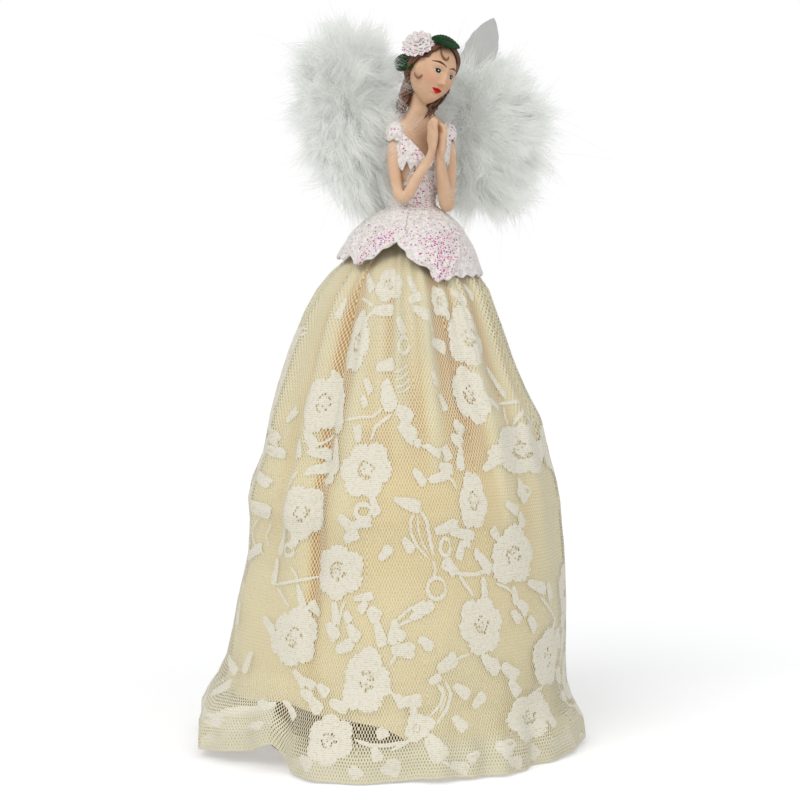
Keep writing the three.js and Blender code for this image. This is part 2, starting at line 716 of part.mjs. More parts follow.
// Wing mount: a felt-covered pad shaped to the bodice's back, with a channel for each stem.
const mountShift = spineAt(mountRise + mountHeight / 2).x;
const mountBack = hingeSet + stemRadius + clear + mountBackWall;
const mountBlock = solidOf(block(
  new THREE.Vector3(mountShift - mountWidth / 2, -shoulderLean / 2, mountRise),
  new THREE.Vector3(mountShift + mountWidth / 2, mountBack, mountRise + mountHeight),
));
let mount = mountBlock.subtract(torsoSolid(bodiceThickness + 2 * clear));
for (const side of [-1, 1]) {
  const x = mountShift + (side * hingeSpread) / 2;
  const low = mountRise - overrun;
  const high = mountRise + mountHeight + overrun;
  mount = mount.subtract(solidOf(upright(stemRadius + clear, low, high, x, hingeSet, bodySides)));
}
addMesh(figure, 'wing_mount', geometryOf(mount), 0xe4e2da, 0.95, 0);

// Wings: each is built outwards from its hinge, in a group that turns about the stem.
// Each row: share of the wing's height, inner edge and outer edge as shares of its reach, depth share.
const rightWingShares = [
  [0.09, 0.12, 0.32, 0.3],
  [0.15, 0.065, 0.55, 0.6],
  [0.28, 0.065, 0.68, 0.85],
  [0.43, 0.065, 0.84, 1],
  [0.61, 0.065, 0.94, 1],
  [0.77, 0.08, 0.87, 0.85],
  [0.87, 0.16, 0.74, 0.6],
  [0.94, 0.26, 0.56, 0.3],
];
const leftWingShares = [
  [0.02, 0.46, 0.68, 0.3],
  [0.09, 0.28, 0.82, 0.6],
  [0.21, 0.14, 0.94, 0.85],
  [0.37, 0.065, 1.01, 1],
  [0.52, 0.065, 1.04, 1],
  [0.66, 0.065, 0.96, 0.85],
  [0.8, 0.13, 0.8, 0.6],
  [0.9, 0.28, 0.62, 0.3],
];
const wingDropShare = 0.12;
const wingLow = mountRise - wingDropShare * wingHeight;
const rowsAcross = 9;
const bulgeSkew = 1.6;

function fluffGeometry(shares, side, set, depth) {
  const rings = shares.map(([up, inner, outer, deep]) => {
    const ring = [];
    for (let j = 0; j <= rowsAcross; j++) {
      const across = j / rowsAcross;
      const out = THREE.MathUtils.lerp(inner, outer, across) * wingReach;
      const bulge = depth * deep * Math.sin(Math.PI * across ** bulgeSkew);
      ring.push(new THREE.Vector3(side * out, set + bulge, wingLow + up * wingHeight));
    }
    return ring;
  });
  return skinOver(rings);
}

// A stiff pointed feather, from its quill end low by the hinge to its tip. Each row of its outline's
// shares is a point or a curve's handle: along the feather, and across it in half widths.
const bladeFootShare = 0.12;
const bladeTipShare = 0.56;
const bladeQuillShares = [0, 0.15];
const bladeSideShares = [[0.3, 1.2], [0.8, 1.2], [1, 0], [0.75, -1.2], [0.3, -1.2]];
function bladeGeometry(side, lengthShare) {
  const foot = new THREE.Vector2(bladeFootShare * wingReach, mountRise + mountHeight / 2);
  const tip = new THREE.Vector2(bladeTipShare * wingReach, wingLow + lengthShare * wingHeight);
  const axis = tip.clone().sub(foot);
  const wide = new THREE.Vector2(-axis.y, axis.x).normalize().multiplyScalar(bladeWidth / 2);
  const outline = new THREE.Shape();
  const at = (place, across) => {
    const p = foot.clone().addScaledVector(axis, place).addScaledVector(wide, across);
    return [side * p.x, p.y];
  };
  const [low, high, point, back, root] = bladeSideShares.map(([place, across]) => at(place, -across));
  const [quillPlace, quillWide] = bladeQuillShares;
  outline.moveTo(...at(quillPlace, -quillWide));
  outline.bezierCurveTo(...low, ...high, ...point);
  outline.bezierCurveTo(...back, ...root, ...at(quillPlace, quillWide));
  outline.closePath();
  const settings = { depth: bladeThickness, bevelEnabled: false, curveSegments: 10 };
  return new THREE.ExtrudeGeometry(outline, settings).rotateX(Math.PI / 2);
}

// The wire: an upright leg in the mount's channel, then an arm that backs the feather.
// Each row of shares: out along the wing's reach, and up its height from the mount's top.
const stemShares = [[0.1, 0.1], [0.3, 0.26], [0.46, 0.4]];
function stemGeometry(side) {
  const top = mountRise + mountHeight;
  const leg = [mountRise - clear, top + clear, top + overrun].map((z) => new THREE.Vector3(0, 0, z));
  const arm = stemShares.map(
    ([out, up]) => new THREE.Vector3(side * out * wingReach, 0, top + up * wingHeight));
  const path = new THREE.CatmullRomCurve3([...leg, ...arm], false, 'centripetal');
  const section = new THREE.Shape().absarc(0, 0, stemRadius, 0, 2 * Math.PI);
  const settings = { extrudePath: path, steps: stemSteps, bevelEnabled: false, curveSegments: limbSides / 2 };
  return new THREE.ExtrudeGeometry(section, settings);
}

const wings = [['right', -1, rightWingShares, 0.95], ['left', 1, leftWingShares, 1]];
for (const [name, side, shares, lengthShare] of wings) {
  const wing = new THREE.Group();
  wing.position.set(mountShift + (side * hingeSpread) / 2, hingeSet, 0);
  wing.rotation.z = -side * wingSweep;
  figure.add(wing);
  const bladeBack = -stemRadius - clear;
  const frontFace = bladeBack - bladeThickness - clear;
  addMesh(wing, `${name}_wing_stem`, stemGeometry(side), 0xb8b8b4, 0.35, 0.9);
  const blade = addMesh(wing, `${name}_wing_blade`, bladeGeometry(side, lengthShare), 0xe6e6e2, 0.6, 0);
  blade.position.y = bladeBack;
  const frontFluff = fluffGeometry(shares, side, frontFace, -fluffDepth);
  addMesh(wing, `${name}_wing_front_fluff`, frontFluff, 0xdcdcd6, 0.95, 0);
  const backFace = stemRadius + clear;
  const backFluff = fluffGeometry(shares, side, backFace, fluffDepth);
  addMesh(wing, `${name}_wing_back_fluff`, backFluff, 0xdcdcd6, 0.95, 0);
}

export default group;
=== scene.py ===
import math

import bmesh
import bpy
import numpy as np
from mathutils import Matrix, Vector
from mathutils.bvhtree import BVHTree


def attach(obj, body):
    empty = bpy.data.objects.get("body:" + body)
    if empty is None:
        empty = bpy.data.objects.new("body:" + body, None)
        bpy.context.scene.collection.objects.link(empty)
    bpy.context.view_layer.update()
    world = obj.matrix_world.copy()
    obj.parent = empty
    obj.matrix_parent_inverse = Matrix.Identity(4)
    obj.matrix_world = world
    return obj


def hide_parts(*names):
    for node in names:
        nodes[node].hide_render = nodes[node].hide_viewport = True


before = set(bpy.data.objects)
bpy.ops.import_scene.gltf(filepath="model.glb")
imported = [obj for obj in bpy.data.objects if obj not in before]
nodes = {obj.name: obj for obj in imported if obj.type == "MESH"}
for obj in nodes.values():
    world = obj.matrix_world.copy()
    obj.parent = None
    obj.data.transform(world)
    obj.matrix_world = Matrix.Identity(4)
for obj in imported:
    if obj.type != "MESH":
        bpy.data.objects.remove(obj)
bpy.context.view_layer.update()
mm = 0.001

# Stage: a white floor and world, two soft studio lamps, and the camera.
# It stands to the figure's right, a little above the middle of the gown. One pixel is 0.565 mm there.
view_target = Vector((0, 0, 200 * mm))
view_distance = 1350 * mm
view_turn = math.radians(-25)
view_rise = math.radians(5)
pixel_size = 0.565 * mm
picture_pixels = 800
target_pixel = (405, 388.9)
sensor_width = 36

view_back = Vector((
    math.sin(view_turn) * math.cos(view_rise),
    -math.cos(view_turn) * math.cos(view_rise),
    math.sin(view_rise),
))
eye_place = view_target + view_back * view_distance


def put(name, data):
    """A new object in the scene."""
    made = bpy.data.objects.new(name, data)
    bpy.context.scene.collection.objects.link(made)
    return made


camera = put("camera", bpy.data.cameras.new("camera"))
camera.data.sensor_width = sensor_width
camera.data.lens = sensor_width * view_distance / (pixel_size * picture_pixels)
camera.data.shift_x = (picture_pixels / 2 - target_pixel[0]) / picture_pixels
camera.data.shift_y = (target_pixel[1] - picture_pixels / 2) / picture_pixels
camera.location = eye_place
camera.rotation_euler = view_back.to_track_quat("Z", "Y").to_euler()
bpy.context.scene.camera = camera
bpy.context.scene.view_settings.view_transform = "Standard"


def lamp(name, turn, rise, strength, spread):
    """A soft lamp far away: turn is from the figure's front towards its left, in degrees."""
    made = put(name, bpy.data.lights.new(name, "SUN"))
    made.data.energy = strength
    made.data.angle = math.radians(spread)
    turn, rise = math.radians(turn), math.radians(rise)
    aim = Vector((math.sin(turn) * math.cos(rise), -math.cos(turn) * math.cos(rise), math.sin(rise)))
    made.rotation_euler = aim.to_track_quat("Z", "Y").to_euler()


lamp("key_lamp", turn=-58, rise=42, strength=1.15, spread=35)
lamp("fill_lamp", turn=12, rise=24, strength=0.55, spread=60)


def node(tree, kind, sockets=None, **settings):
    """A shader node. A socket's value is a plain value or another node's output."""
    made = tree.nodes.new("ShaderNode" + kind)
    for name, value in settings.items():
        setattr(made, name, value)
    for name, value in (sockets or {}).items():
        if isinstance(value, bpy.types.NodeSocket):
            tree.links.new(value, made.inputs[name])
        else:
            made.inputs[name].default_value = value
    return made


def calc(tree, operation, *values, clamp=False):
    made = node(tree, "Math", dict(enumerate(values)), operation=operation, use_clamp=clamp)
    return made.outputs[0]


def dye(red, green, blue):
    """A colour written as it looks on a screen, from 0 to 255, as the shader wants it."""
    shares = [c / 255 for c in (red, green, blue)]
    return (*[c / 12.92 if c <= 0.04045 else ((c + 0.055) / 1.055) ** 2.4 for c in shares], 1)


def seen_past(tree):
    """1 for rays that show a background: from the camera, off a mirror or through glass."""
    path = node(tree, "LightPath")
    mirrored = calc(tree, "MAXIMUM", path.outputs["Is Camera Ray"], path.outputs["Is Glossy Ray"])
    return calc(tree, "MAXIMUM", mirrored, path.outputs["Is Transmission Ray"])


world = bpy.data.worlds.new("studio")
bpy.context.scene.world = world
world.use_nodes = True
world.node_tree.nodes.clear()
room_light = node(world.node_tree, "Background", {"Color": (0.97, 0.98, 1, 1), "Strength": 0.56})
backdrop = node(world.node_tree, "Background", {"Color": (1, 1, 1, 1), "Strength": 1})
shown = node(world.node_tree, "MixShader", {
    0: seen_past(world.node_tree), 1: room_light.outputs[0], 2: backdrop.outputs[0]})
node(world.node_tree, "OutputWorld", {"Surface": shown.outputs[0]})


def new_material(name, shader_of):
    """A material whose surface is what shader_of(tree) gives: one shader node."""
    made = bpy.data.materials.new(name)
    made.use_nodes = True
    made.node_tree.nodes.clear()
    surface = shader_of(made.node_tree)
    node(made.node_tree, "OutputMaterial", {"Surface": surface.outputs[0]})
    return made


def floor_shader(tree):
    paint = node(tree, "BsdfDiffuse", {"Color": (0.86, 0.86, 0.86, 1)})
    lift = node(tree, "Emission", {"Color": (1, 1, 1, 1), "Strength": 0.3})
    dark = node(tree, "Emission", {"Color": (0, 0, 0, 1), "Strength": 0})
    lit = node(tree, "MixShader", {0: seen_past(tree), 1: dark.outputs[0], 2: lift.outputs[0]})
    return node(tree, "AddShader", {0: paint.outputs[0], 1: lit.outputs[0]})


bpy.ops.object.select_all(action="DESELECT")
bpy.ops.mesh.primitive_circle_add(vertices=64, radius=3, fill_type="NGON", location=(0, 0, 0))
floor = bpy.context.object
floor.name = "floor"
floor.data.materials.append(new_material("white_floor", floor_shader))

# Card cone, plug and dowel: a cone rolled from grey board, a wooden disc glued in its narrow end
# and a dowel through it, which carry the whole figure on the tree. Their CAD solids are right.


def object_place(tree):
    return node(tree, "TexCoord").outputs["Object"]


def uneven(tree, place, scale, detail, rough=0.5):
    """A natural unevenness, a value about 0.5."""
    made = node(tree, "TexNoise", {"Vector": place, "Scale": scale, "Detail": detail, "Roughness": rough})
    return made.outputs["Fac"]


def tones(tree, value, first, last, *between):
    """A colour that runs by a value. Each stop is the value where it stands and its colour."""
    run = node(tree, "ValToRGB", {"Fac": value})
    stops = run.color_ramp.elements
    stops[0].position, stops[0].color = first
    stops[1].position, stops[1].color = last
    for position, colour in between:
        stops.new(position).color = colour
    return run.outputs["Color"]


def raised(tree, height, strength, deep, **under):
    """The shading of a small relief that is as deep as told, in metres."""
    sockets = {"Height": height, "Strength": strength, "Distance": deep, **under}
    return node(tree, "Bump", sockets).outputs["Normal"]


def mottled(name, dark, light, grain, roughness, relief, stretch=(1, 1, 1), **extra):
    """A worn natural surface: two tones mixed by a grain of that size, in metres, with its relief."""
    def shader(tree):
        aimed = node(tree, "Mapping", {"Vector": object_place(tree), "Scale": stretch})
        worn = uneven(tree, aimed.outputs[0], 1 / grain, 5, 0.6)
        return node(tree, "BsdfPrincipled", {
            "Base Color": tones(tree, worn, (0.32, dark), (0.68, light)), "Roughness": roughness,
            "Normal": raised(tree, worn, 0.6, relief), **extra})
    return new_material(name, shader)


def dress_node(name, material):
    """Gives a CAD solid that stays in view its finish."""
    nodes[name].data.materials.clear()
    nodes[name].data.materials.append(material)


card_finish = mottled("card_finish", dye(118, 84, 50), dye(142, 104, 66), 6 * mm, 0.85, 0.1 * mm)
wood_finish = mottled(
    "wood_finish", dye(166, 124, 76), dye(204, 164, 112), 5 * mm, 0.6, 0.08 * mm, stretch=(1, 1, 0.15))
dress_node("cone_core", card_finish)
dress_node("top_plug", wood_finish)
dress_node("waist_peg", wood_finish)

# Petticoat: a stiff tulle bell, gathered on a thread over the cone's top, that holds the gown out.
# It is cut in flared gores, stands in soft waves and ends above the floor.


def smooth_between(low, high, value):
    share = np.clip((value - low) / (high - low), 0, 1)
    return share * share * (3 - 2 * share)


def new_piece(name, points, faces):
    """A new object with its place in its mesh."""
    mesh = bpy.data.meshes.new(name)
    mesh.from_pydata(points.tolist(), [], faces)
    return put(name, mesh)


def cloth_piece(name, points, material, body, closed=True, cut=None, fold=None, wall=0.0):
    """A sheet from a grid of points, with its lay on the flat cloth as its UV map, in metres.
    fold is a second map: how far each point stands up in its fold, and how tightly it is gathered.
    wall is its thickness, where it has one."""
    rows, columns = points.shape[:2]
    spans = columns if closed else columns - 1
    row, column = np.meshgrid(np.arange(rows - 1), np.arange(spans), indexing="ij")
    beside = (column + 1) % columns
    corners = [
        row * columns + column, row * columns + beside,
        (row + 1) * columns + beside, (row + 1) * columns + column,
    ]
    faces = np.stack(corners, -1).reshape(-1, 4)
    piece = new_piece(name, points.reshape(-1, 3), faces.tolist())
    mesh = piece.data
    if cut:
        lay = np.stack([
            np.stack((column, row), -1), np.stack((column + 1, row), -1),
            np.stack((column + 1, row + 1), -1), np.stack((column, row + 1), -1),
        ], -2).astype(float)
        lay[..., 0] *= cut[0] / spans
        lay[..., 1] *= cut[1] / (rows - 1)
        mesh.uv_layers.new(name="lay").data.foreach_set("uv", lay.ravel())
    if fold is not None:
        mesh.uv_layers.new(name="fold").data.foreach_set("uv", fold.reshape(-1, 2)[faces].ravel())
    mesh.shade_smooth()
    mesh.materials.append(material)
    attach(piece, body)
    if wall:
        piece.modifiers.new("wall", "SOLIDIFY").thickness = wall
    return piece


# Each row: height, reach to the figure's right and reach to its left, in metres, as the gown stands.
gown_outline = np.array([
    (0.000, 0.1165, 0.1000),
    (0.012, 0.1170, 0.0990),
    (0.024, 0.1130, 0.0940),
    (0.034, 0.1075, 0.0920),
    (0.049, 0.1010, 0.0915),
    (0.064, 0.0978, 0.0915),
    (0.080, 0.0950, 0.0910),
    (0.106, 0.0885, 0.0893),
    (0.125, 0.0872, 0.0872),
    (0.137, 0.0882, 0.0862),
    (0.149, 0.0858, 0.0842),
    (0.164, 0.0795, 0.0800),
    (0.185, 0.0748, 0.0755),
    (0.201, 0.0700, 0.0672),
    (0.222, 0.0630, 0.0582),
    (0.243, 0.0548, 0.0505),
    (0.256, 0.0480, 0.0462),
    (0.266, 0.0402, 0.0392),
    (0.274, 0.0315, 0.0318),
    (0.280, 0.0236, 0.0238),
    (0.284, 0.0203, 0.0203),
    (0.288, 0.0200, 0.0200),
])
gown_top = gown_outline[-1, 0]
right_side_turn = view_turn + math.pi


def table_at(table, value, *columns):
    """What a table's columns say at a value of its first one."""
    return [np.interp(value, table[:, 0], table[:, i]) for i in columns]


def gown_reach(turn, height):
    """The gown's reach from the axis without its folds."""
    right, left = table_at(gown_outline, height, 1, 2)
    return (right + left) / 2 + (right - left) / 2 * np.cos(turn - right_side_turn)


def around_between(turn, other):
    """The turn from other to turn, the short way round."""
    return (turn - other + math.pi) % (2 * math.pi) - math.pi


# The fine gathers, each a little off its even place and unlike the next.
chance = np.random.default_rng(7)
gather_count = 36
gathers = [
    dict(
        turn=(i + chance.uniform(-0.3, 0.3)) * 2 * math.pi / gather_count,
        lean=chance.uniform(-0.7, 0.7),
        wide=chance.uniform(0.045, 0.085),
        deep=chance.uniform(1.5, 3.0) * mm,
        foot=chance.uniform(0.12, 0.225),
        steep=chance.uniform(0.3, 1),
    )
    for i in range(gather_count)
]
# The deep folds, which the solids have too, and furrows, whose depth is below zero. Each row holds
# shares of a half turn: where it starts, its drift on the way down and its width. Then its depth in
# mm, the share of the gown's height where it has faded, and its steep side's share of its width.
deep_folds = [
    dict(
        turn=math.pi * (start + half), lean=math.pi * drift / gown_top, wide=math.pi * wide,
        deep=deep * mm, foot=foot * gown_top, steep=steep)
    for start, drift, wide, deep, foot, steep in (
        (0.989, -0.030, 0.051, 3.6, 0.10, 0.6),
        (1.094, 0.020, 0.035, 3.6, 0.17, 0.5),
        (1.167, 0.010, 0.0175, -3.6, 0.07, 0.9),
        (1.244, -0.035, 0.029, 3.2, 0.35, 0.6),
        (1.333, 0.030, 0.029, 3.2, 0.52, 0.5),
        (1.422, 0.020, 0.027, 3.2, 0.49, 0.5),
        (1.489, 0.070, 0.019, -2.6, 0.52, 0.8),
        (1.572, 0.035, 0.032, 3.2, 0.35, 0.5),
        (1.683, 0.030, 0.038, 2.8, 0.21, 0.8),
        (1.806, 0.020, 0.041, 3.0, 0.14, 0.6),
    )
    for half in (0, 1)
]


def ridge(turn, height, fold, fade):
    """One fold: a ridge that leans as it falls, steeper on one side, and fades out at its foot."""
    aside = around_between(turn, fold["turn"] + fold["lean"] * (gown_top - height))
    wide = np.where(aside > 0, fold["wide"], fold["wide"] * fold["steep"])
    lasting = smooth_between(fold["foot"], fold["foot"] + fade, height)
    level = fold["wide"] * (1 + fold["steep"]) / (4 * math.sqrt(math.pi))
    return fold["deep"] * lasting * (np.exp(-(aside / wide) ** 2) - level)


# The share of a fold's height that the gathering thread takes at the waist.
tied_flat = 0.88


def pleats(turn, height, fine=1.0):
    """How far the gathers and the deep folds stand off the gown's plain bell."""
    total = np.zeros(np.broadcast(turn, height).shape)
    collar = 1 - tied_flat * smooth_between(0.262, 0.284, height)
    drawn = 1 - tied_flat * smooth_between(0.8 * gown_top, 0.985 * gown_top, height)
    for fold in gathers:
        total += fine * collar * ridge(turn, height, fold, 0.06)
    for fold in deep_folds:
        total += drawn * ridge(turn, height, fold, 0.35 * gown_top)
    return total


hem_notch_turn = math.radians(206)
hem_notch_half = 0.085
hem_notch_deep = 6.5 * mm


def gown_folds(turn, height, fine, hem):
    """How far all folds stand off the plain bell. fine and hem keep or drop the small ones."""
    total = pleats(turn, height, fine)
    broad = 0.6 * np.cos(6 * turn + math.radians(23)) + 0.4 * np.cos(4 * turn + math.radians(120))
    hemward = (1.1 + 1.5 * smooth_between(0.5 * gown_top, 0, height)) * mm
    total += broad * hemward * smooth_between(0.94 * gown_top, 0.59 * gown_top, height)
    ruffle = smooth_between(0.046, 0.0, height) * hem
    total += 3.6 * mm * ruffle * np.cos(8 * turn + math.radians(34) * np.sin(2 * turn))
    wander = 17 * turn + 1.7 * np.sin(3 * turn + 0.5) + 0.8 * np.sin(5 * turn)
    total += ruffle * (2.0 * np.sin(wander) + 1.0 * np.sin(29 * turn + 2 * np.sin(4 * turn))) * mm
    notch = np.exp(-(around_between(turn, hem_notch_turn) / hem_notch_half) ** 2)
    total -= smooth_between(0.060, 0.010, height) * hem * hem_notch_deep * notch
    return total


def fold_map(turns, heights):
    """How far the cloth stands up in its fold, from 0 to 1, and how tightly it is gathered there."""
    stand = np.clip(0.5 + pleats(turns, heights) / (4.5 * mm), 0, 1)
    return np.stack((stand, smooth_between(0.13, 0.25, heights)), -1)


def bell(turns, heights, set_in, fine, hem):
    """Points of one of the gown's layers, set in from the lace."""
    reach = gown_reach(turns, heights) + gown_folds(turns, heights, fine, hem) - set_in
    return np.stack((reach * np.cos(turns), reach * np.sin(turns), heights), -1)


def ring_grid(rows, columns, foot, top):
    """Turns and heights of a grid whose lowest row follows foot, a height for each turn."""
    turns = np.arange(columns) * 2 * math.pi / columns
    share = np.linspace(0, 1, rows)[:, None]
    heights = foot(turns)[None, :] * (1 - share) + top * share
    return np.broadcast_to(turns, heights.shape), heights


def lets_light_by(tree, cover):
    """A cloth's cover, less where light passes: thin threads scatter much of it on."""
    path = node(tree, "LightPath")
    kept = calc(tree, "MULTIPLY_ADD", path.outputs["Is Shadow Ray"], -0.55, 1)
    return calc(tree, "MULTIPLY", cover, kept)


def lay_place(tree, name="lay"):
    return node(tree, "UVMap", uv_map=name).outputs[0]


def vector_calc(tree, operation, *values):
    return node(tree, "VectorMath", dict(enumerate(values)), operation=operation).outputs[0]


def share_of(tree, value, low, high, least=0.0, most=1.0):
    """How far a value is from low to high, as a share that stops at least and most."""
    made = node(tree, "MapRange", {
        "Value": value, "From Min": low, "From Max": high, "To Min": least, "To Max": most}, clamp=True)
    return made.outputs[0]


def paint_over(tree, under, colour, mask):
    """A paint laid over another where its mask is 1."""
    return node(tree, "Mix", {0: mask, 6: under, 7: colour}, data_type="RGBA").outputs[2]


def mesh_cloth(name, thread, pitch, hole, weave=0.0, gathered=False):
    """Net of brick-set oval holes. pitch and hole are in metres on the flat cloth. Gathered net closes
    up on its ridges, and all net closes up where it is seen from aside."""
    def shader(tree):
        lay = lay_place(tree)
        steps = vector_calc(tree, "MULTIPLY", lay, (1 / pitch[0], 1 / pitch[1], 0))
        oval_size = (hole[0] / 2 / pitch[0], hole[1] / 2 / pitch[1], 1)
        nearest = []
        for shift in (0, 0.5):
            part = vector_calc(tree, "FRACTION", vector_calc(tree, "ADD", steps, (shift, shift, 0)))
            from_middle = vector_calc(tree, "SUBTRACT", part, (0.5, 0.5, 0))
            scaled = vector_calc(tree, "DIVIDE", from_middle, oval_size)
            length = node(tree, "VectorMath", {0: scaled}, operation="LENGTH")
            nearest.append(length.outputs["Value"])
        edge = calc(tree, "MINIMUM", *nearest)
        aside = calc(tree, "POWER", node(tree, "LayerWeight", {"Blend": 0.5}).outputs["Facing"], 3)
        closing = calc(tree, "MULTIPLY_ADD", aside, 0.9, 1)
        if gathered:
            fold = node(tree, "SeparateXYZ", {0: lay_place(tree, "fold")})
            bunched = calc(tree, "MULTIPLY", fold.outputs["X"], fold.outputs["Y"])
            closing = calc(tree, "MULTIPLY_ADD", bunched, 0.42, closing)
        edge = calc(tree, "MULTIPLY", edge, closing)
        worn = (*[c * 0.9 for c in thread[:3]], 1)
        return node(tree, "BsdfPrincipled", {
            "Base Color": paint_over(tree, thread, worn, uneven(tree, lay, 90, 3)),
            "Roughness": 0.8, "Sheen Weight": weave,
            "Alpha": lets_light_by(tree, share_of(tree, edge, 0.88, 1.08)),
            "Normal": raised(tree, edge, 0.5, 0.15 * mm)})
    return new_material(name, shader)


tulle = mesh_cloth("tulle", dye(226, 214, 186), (1.6 * mm, 1.9 * mm), (1.15 * mm, 1.3 * mm))
petticoat_flat = (0.62, 0.30)
lining_gap = 1.5 * mm
petticoat_gap = 7.2 * mm
# From this height up the layers close on each other, towards the waist.
closing_height = 0.24


def petticoat_foot(turns):
    return 0.040 + 0.003 * np.sin(9 * turns) + 0.002 * np.sin(4 * turns + 1)


turns, heights = ring_grid(70, 240, petticoat_foot, gown_top - 1 * mm)
set_in = petticoat_gap * (1 - 0.45 * smooth_between(closing_height, gown_top, heights))
petticoat = cloth_piece(
    "petticoat_net", bell(turns, heights, set_in, 0, 0), tulle, "root", cut=petticoat_flat)
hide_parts("petticoat")

# Lining: a plain skirt of warm gold satin, shorter than the lace and gathered with it.
# It is cut in flared gores, sewn up its back, and its hem rises at the figure's right.


def see_through(tree, face, tone, glow, passed):
    """A thin piece's shader: glow is its share that shines through, passed what its shadow lets by."""
    through = node(tree, "BsdfTranslucent", {"Color": tone})
    cloth = node(tree, "MixShader", {0: glow, 1: face.outputs[0], 2: through.outputs[0]})
    path = node(tree, "LightPath")
    by = calc(tree, "MULTIPLY", path.outputs["Is Shadow Ray"], passed)
    clear = node(tree, "BsdfTransparent")
    return node(tree, "MixShader", {0: by, 1: cloth.outputs[0], 2: clear.outputs[0]})


def satin_shader(tree):
    """Satin with painted shade: deeper amber down in its folds and where it is gathered, and paler as painted
    light on its ridges.
    """
    lay = lay_place(tree)
    fine = node(tree, "Mapping", {"Vector": lay, "Scale": (2600, 700, 1)})
    threads = uneven(tree, fine.outputs[0], 1, 2)
    fold = node(tree, "SeparateXYZ", {0: lay_place(tree, "fold")})
    # Painted shade and light: the colour runs to amber where the fold sinks and the cloth is gathered, and
    # pales on the ridges.
    fold_shading = calc(tree, "MULTIPLY_ADD", fold.outputs["Y"], -0.16, fold.outputs["X"])
    stand = calc(tree, "MULTIPLY_ADD", uneven(tree, lay, 26, 4), 0.2, fold_shading)
    tone = tones(
        tree, calc(tree, "SUBTRACT", stand, 0.1),
        (0.04, dye(216, 164, 78)), (0.52, dye(250, 236, 190)), (0.3, dye(244, 219, 154)))
    face = node(tree, "BsdfPrincipled", {
        "Base Color": tone, "Roughness": 0.42, "Sheen Weight": 0.25,
        "Specular IOR Level": 0.4, "Normal": raised(tree, threads, 0.35, 0.05 * mm)})
    return see_through(tree, face, tone, 0.09, 0.35)


satin = new_material("gold_satin", satin_shader)
lining_flat = (0.64, 0.285)
lining_hem_set_in = 5 * mm
# Each row: the turn in degrees and the height of the lining's edge there, in mm.
lining_edge = np.array((
    (0, 12), (60, 14), (110, 15), (150, 24), (172, 33), (200, 35.5), (214, 33.5), (227, 31.5),
    (239, 27), (245, 22), (251, 18.5), (270, 14.5), (277, 11), (304, 10), (335, 11)))


def round_edge(turns, table):
    """The heights of a table of turns in degrees and heights in mm, all the way round."""
    return np.interp(np.degrees(turns), table[:, 0], table[:, 1], period=360) * mm


def lining_foot(turns):
    return round_edge(turns, lining_edge) + 0.8 * mm * np.sin(11 * turns)


turns, heights = ring_grid(130, 360, lining_foot, gown_top - 0.5 * mm)
set_in = lining_gap * (1 - 0.4 * smooth_between(closing_height, gown_top, heights))
set_in += lining_hem_set_in * smooth_between(0.07, 0.015, heights)
lining = cloth_piece(
    "lining_satin", bell(turns, heights, set_in, 0.85, 0), satin, "root", cut=lining_flat,
    fold=fold_map(turns, heights))
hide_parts("satin_lining")

# Lace gown: cotton lace, cut in gores that meet in its folds, gathered at the waist and left to ruffle
# on the floor. Its ground is a fine net, and its flowers are woven solid and stand proud of it.
lace_flat_width = 0.66
lace_columns = 480
lace_rows = 176
# Each row: the turn in degrees and the height of the lace's edge there, in mm. It stands off the floor
# where it flares to the figure's right.
lace_edge = np.array((
    (10, 2), (30, 0.5), (60, 2), (90, 0), (120, 3), (150, 6), (155, 6), (165, 5), (177, 3.5), (186, 5),
    (194, 7.5), (199, 12), (202, 14), (206, 7), (210, 0.5), (245, 0), (256, 2.5), (270, 0.5), (292, 0),
    (300, 0), (320, 2), (335, 3)))


def hem_curl(turns):
    """The height of the lace's edge: it ruffles up off the floor in places."""
    return round_edge(turns, lace_edge) + (0.9 + 0.4 * np.sin(12 * turns + 0.4)) * mm


seen_turn = math.radians(245)
plain_heights = np.linspace(0, gown_top, 400)
plain_reach = gown_reach(seen_turn, plain_heights)
plain_lengths = np.concatenate(([0], np.cumsum(np.hypot(np.diff(plain_heights), np.diff(plain_reach)))))
lace_length = plain_lengths[-1]
row_heights = np.interp(np.linspace(0, lace_length, lace_rows), plain_lengths, plain_heights)
lace_turns = np.arange(lace_columns) * 2 * math.pi / lace_columns
heights = np.broadcast_to(row_heights[:, None], (lace_rows, lace_columns)).copy()
turns = np.broadcast_to(lace_turns, heights.shape)
lace_points = bell(turns, heights, 0, 1, 1)
lace_points[..., 2] += hem_curl(turns) * smooth_between(0.062, 0, heights)

lace_thread = dye(226, 219, 190)
net_pitch = (1.56 * mm, 3.7 * mm)
net = mesh_cloth("lace_net", lace_thread, net_pitch, (0.95 * mm, 2.2 * mm), weave=0.1, gathered=True)
lace_flat = (lace_flat_width, lace_length)
lace_fold = fold_map(turns, heights)
milky_top = 0.024 + 0.024 * smooth_between(3.6, 3.42, turns) * smooth_between(2.4, 2.8, turns)
milky = smooth_between(milky_top, 0.4 * milky_top, heights)
lace_fold = np.maximum(lace_fold, np.stack(((24 * milky_top + 0.6) * milky, milky), -1))
lace_ground = cloth_piece("lace_gown", lace_points, net, "root", cut=lace_flat, fold=lace_fold)
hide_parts("lace_skirt")

# Where the gores take the cloth in, the net keeps its pitch: each width of it lies square between two
# valleys, where the seams are.
ordered = sorted(deep_folds, key=lambda fold: fold["turn"] % (2 * math.pi))
valleys = []
for one, other in zip(ordered, ordered[1:] + ordered[:1]):
    if one["deep"] < 0:
        valleys.append((one["turn"] % (2 * math.pi), one["lean"]))
    elif other["deep"] > 0:
        half_gap = (other["turn"] - one["turn"]) % (2 * math.pi) / 2
        valleys.append(((one["turn"] + half_gap) % (2 * math.pi), (one["lean"] + other["lean"]) / 2))
valleys.sort()


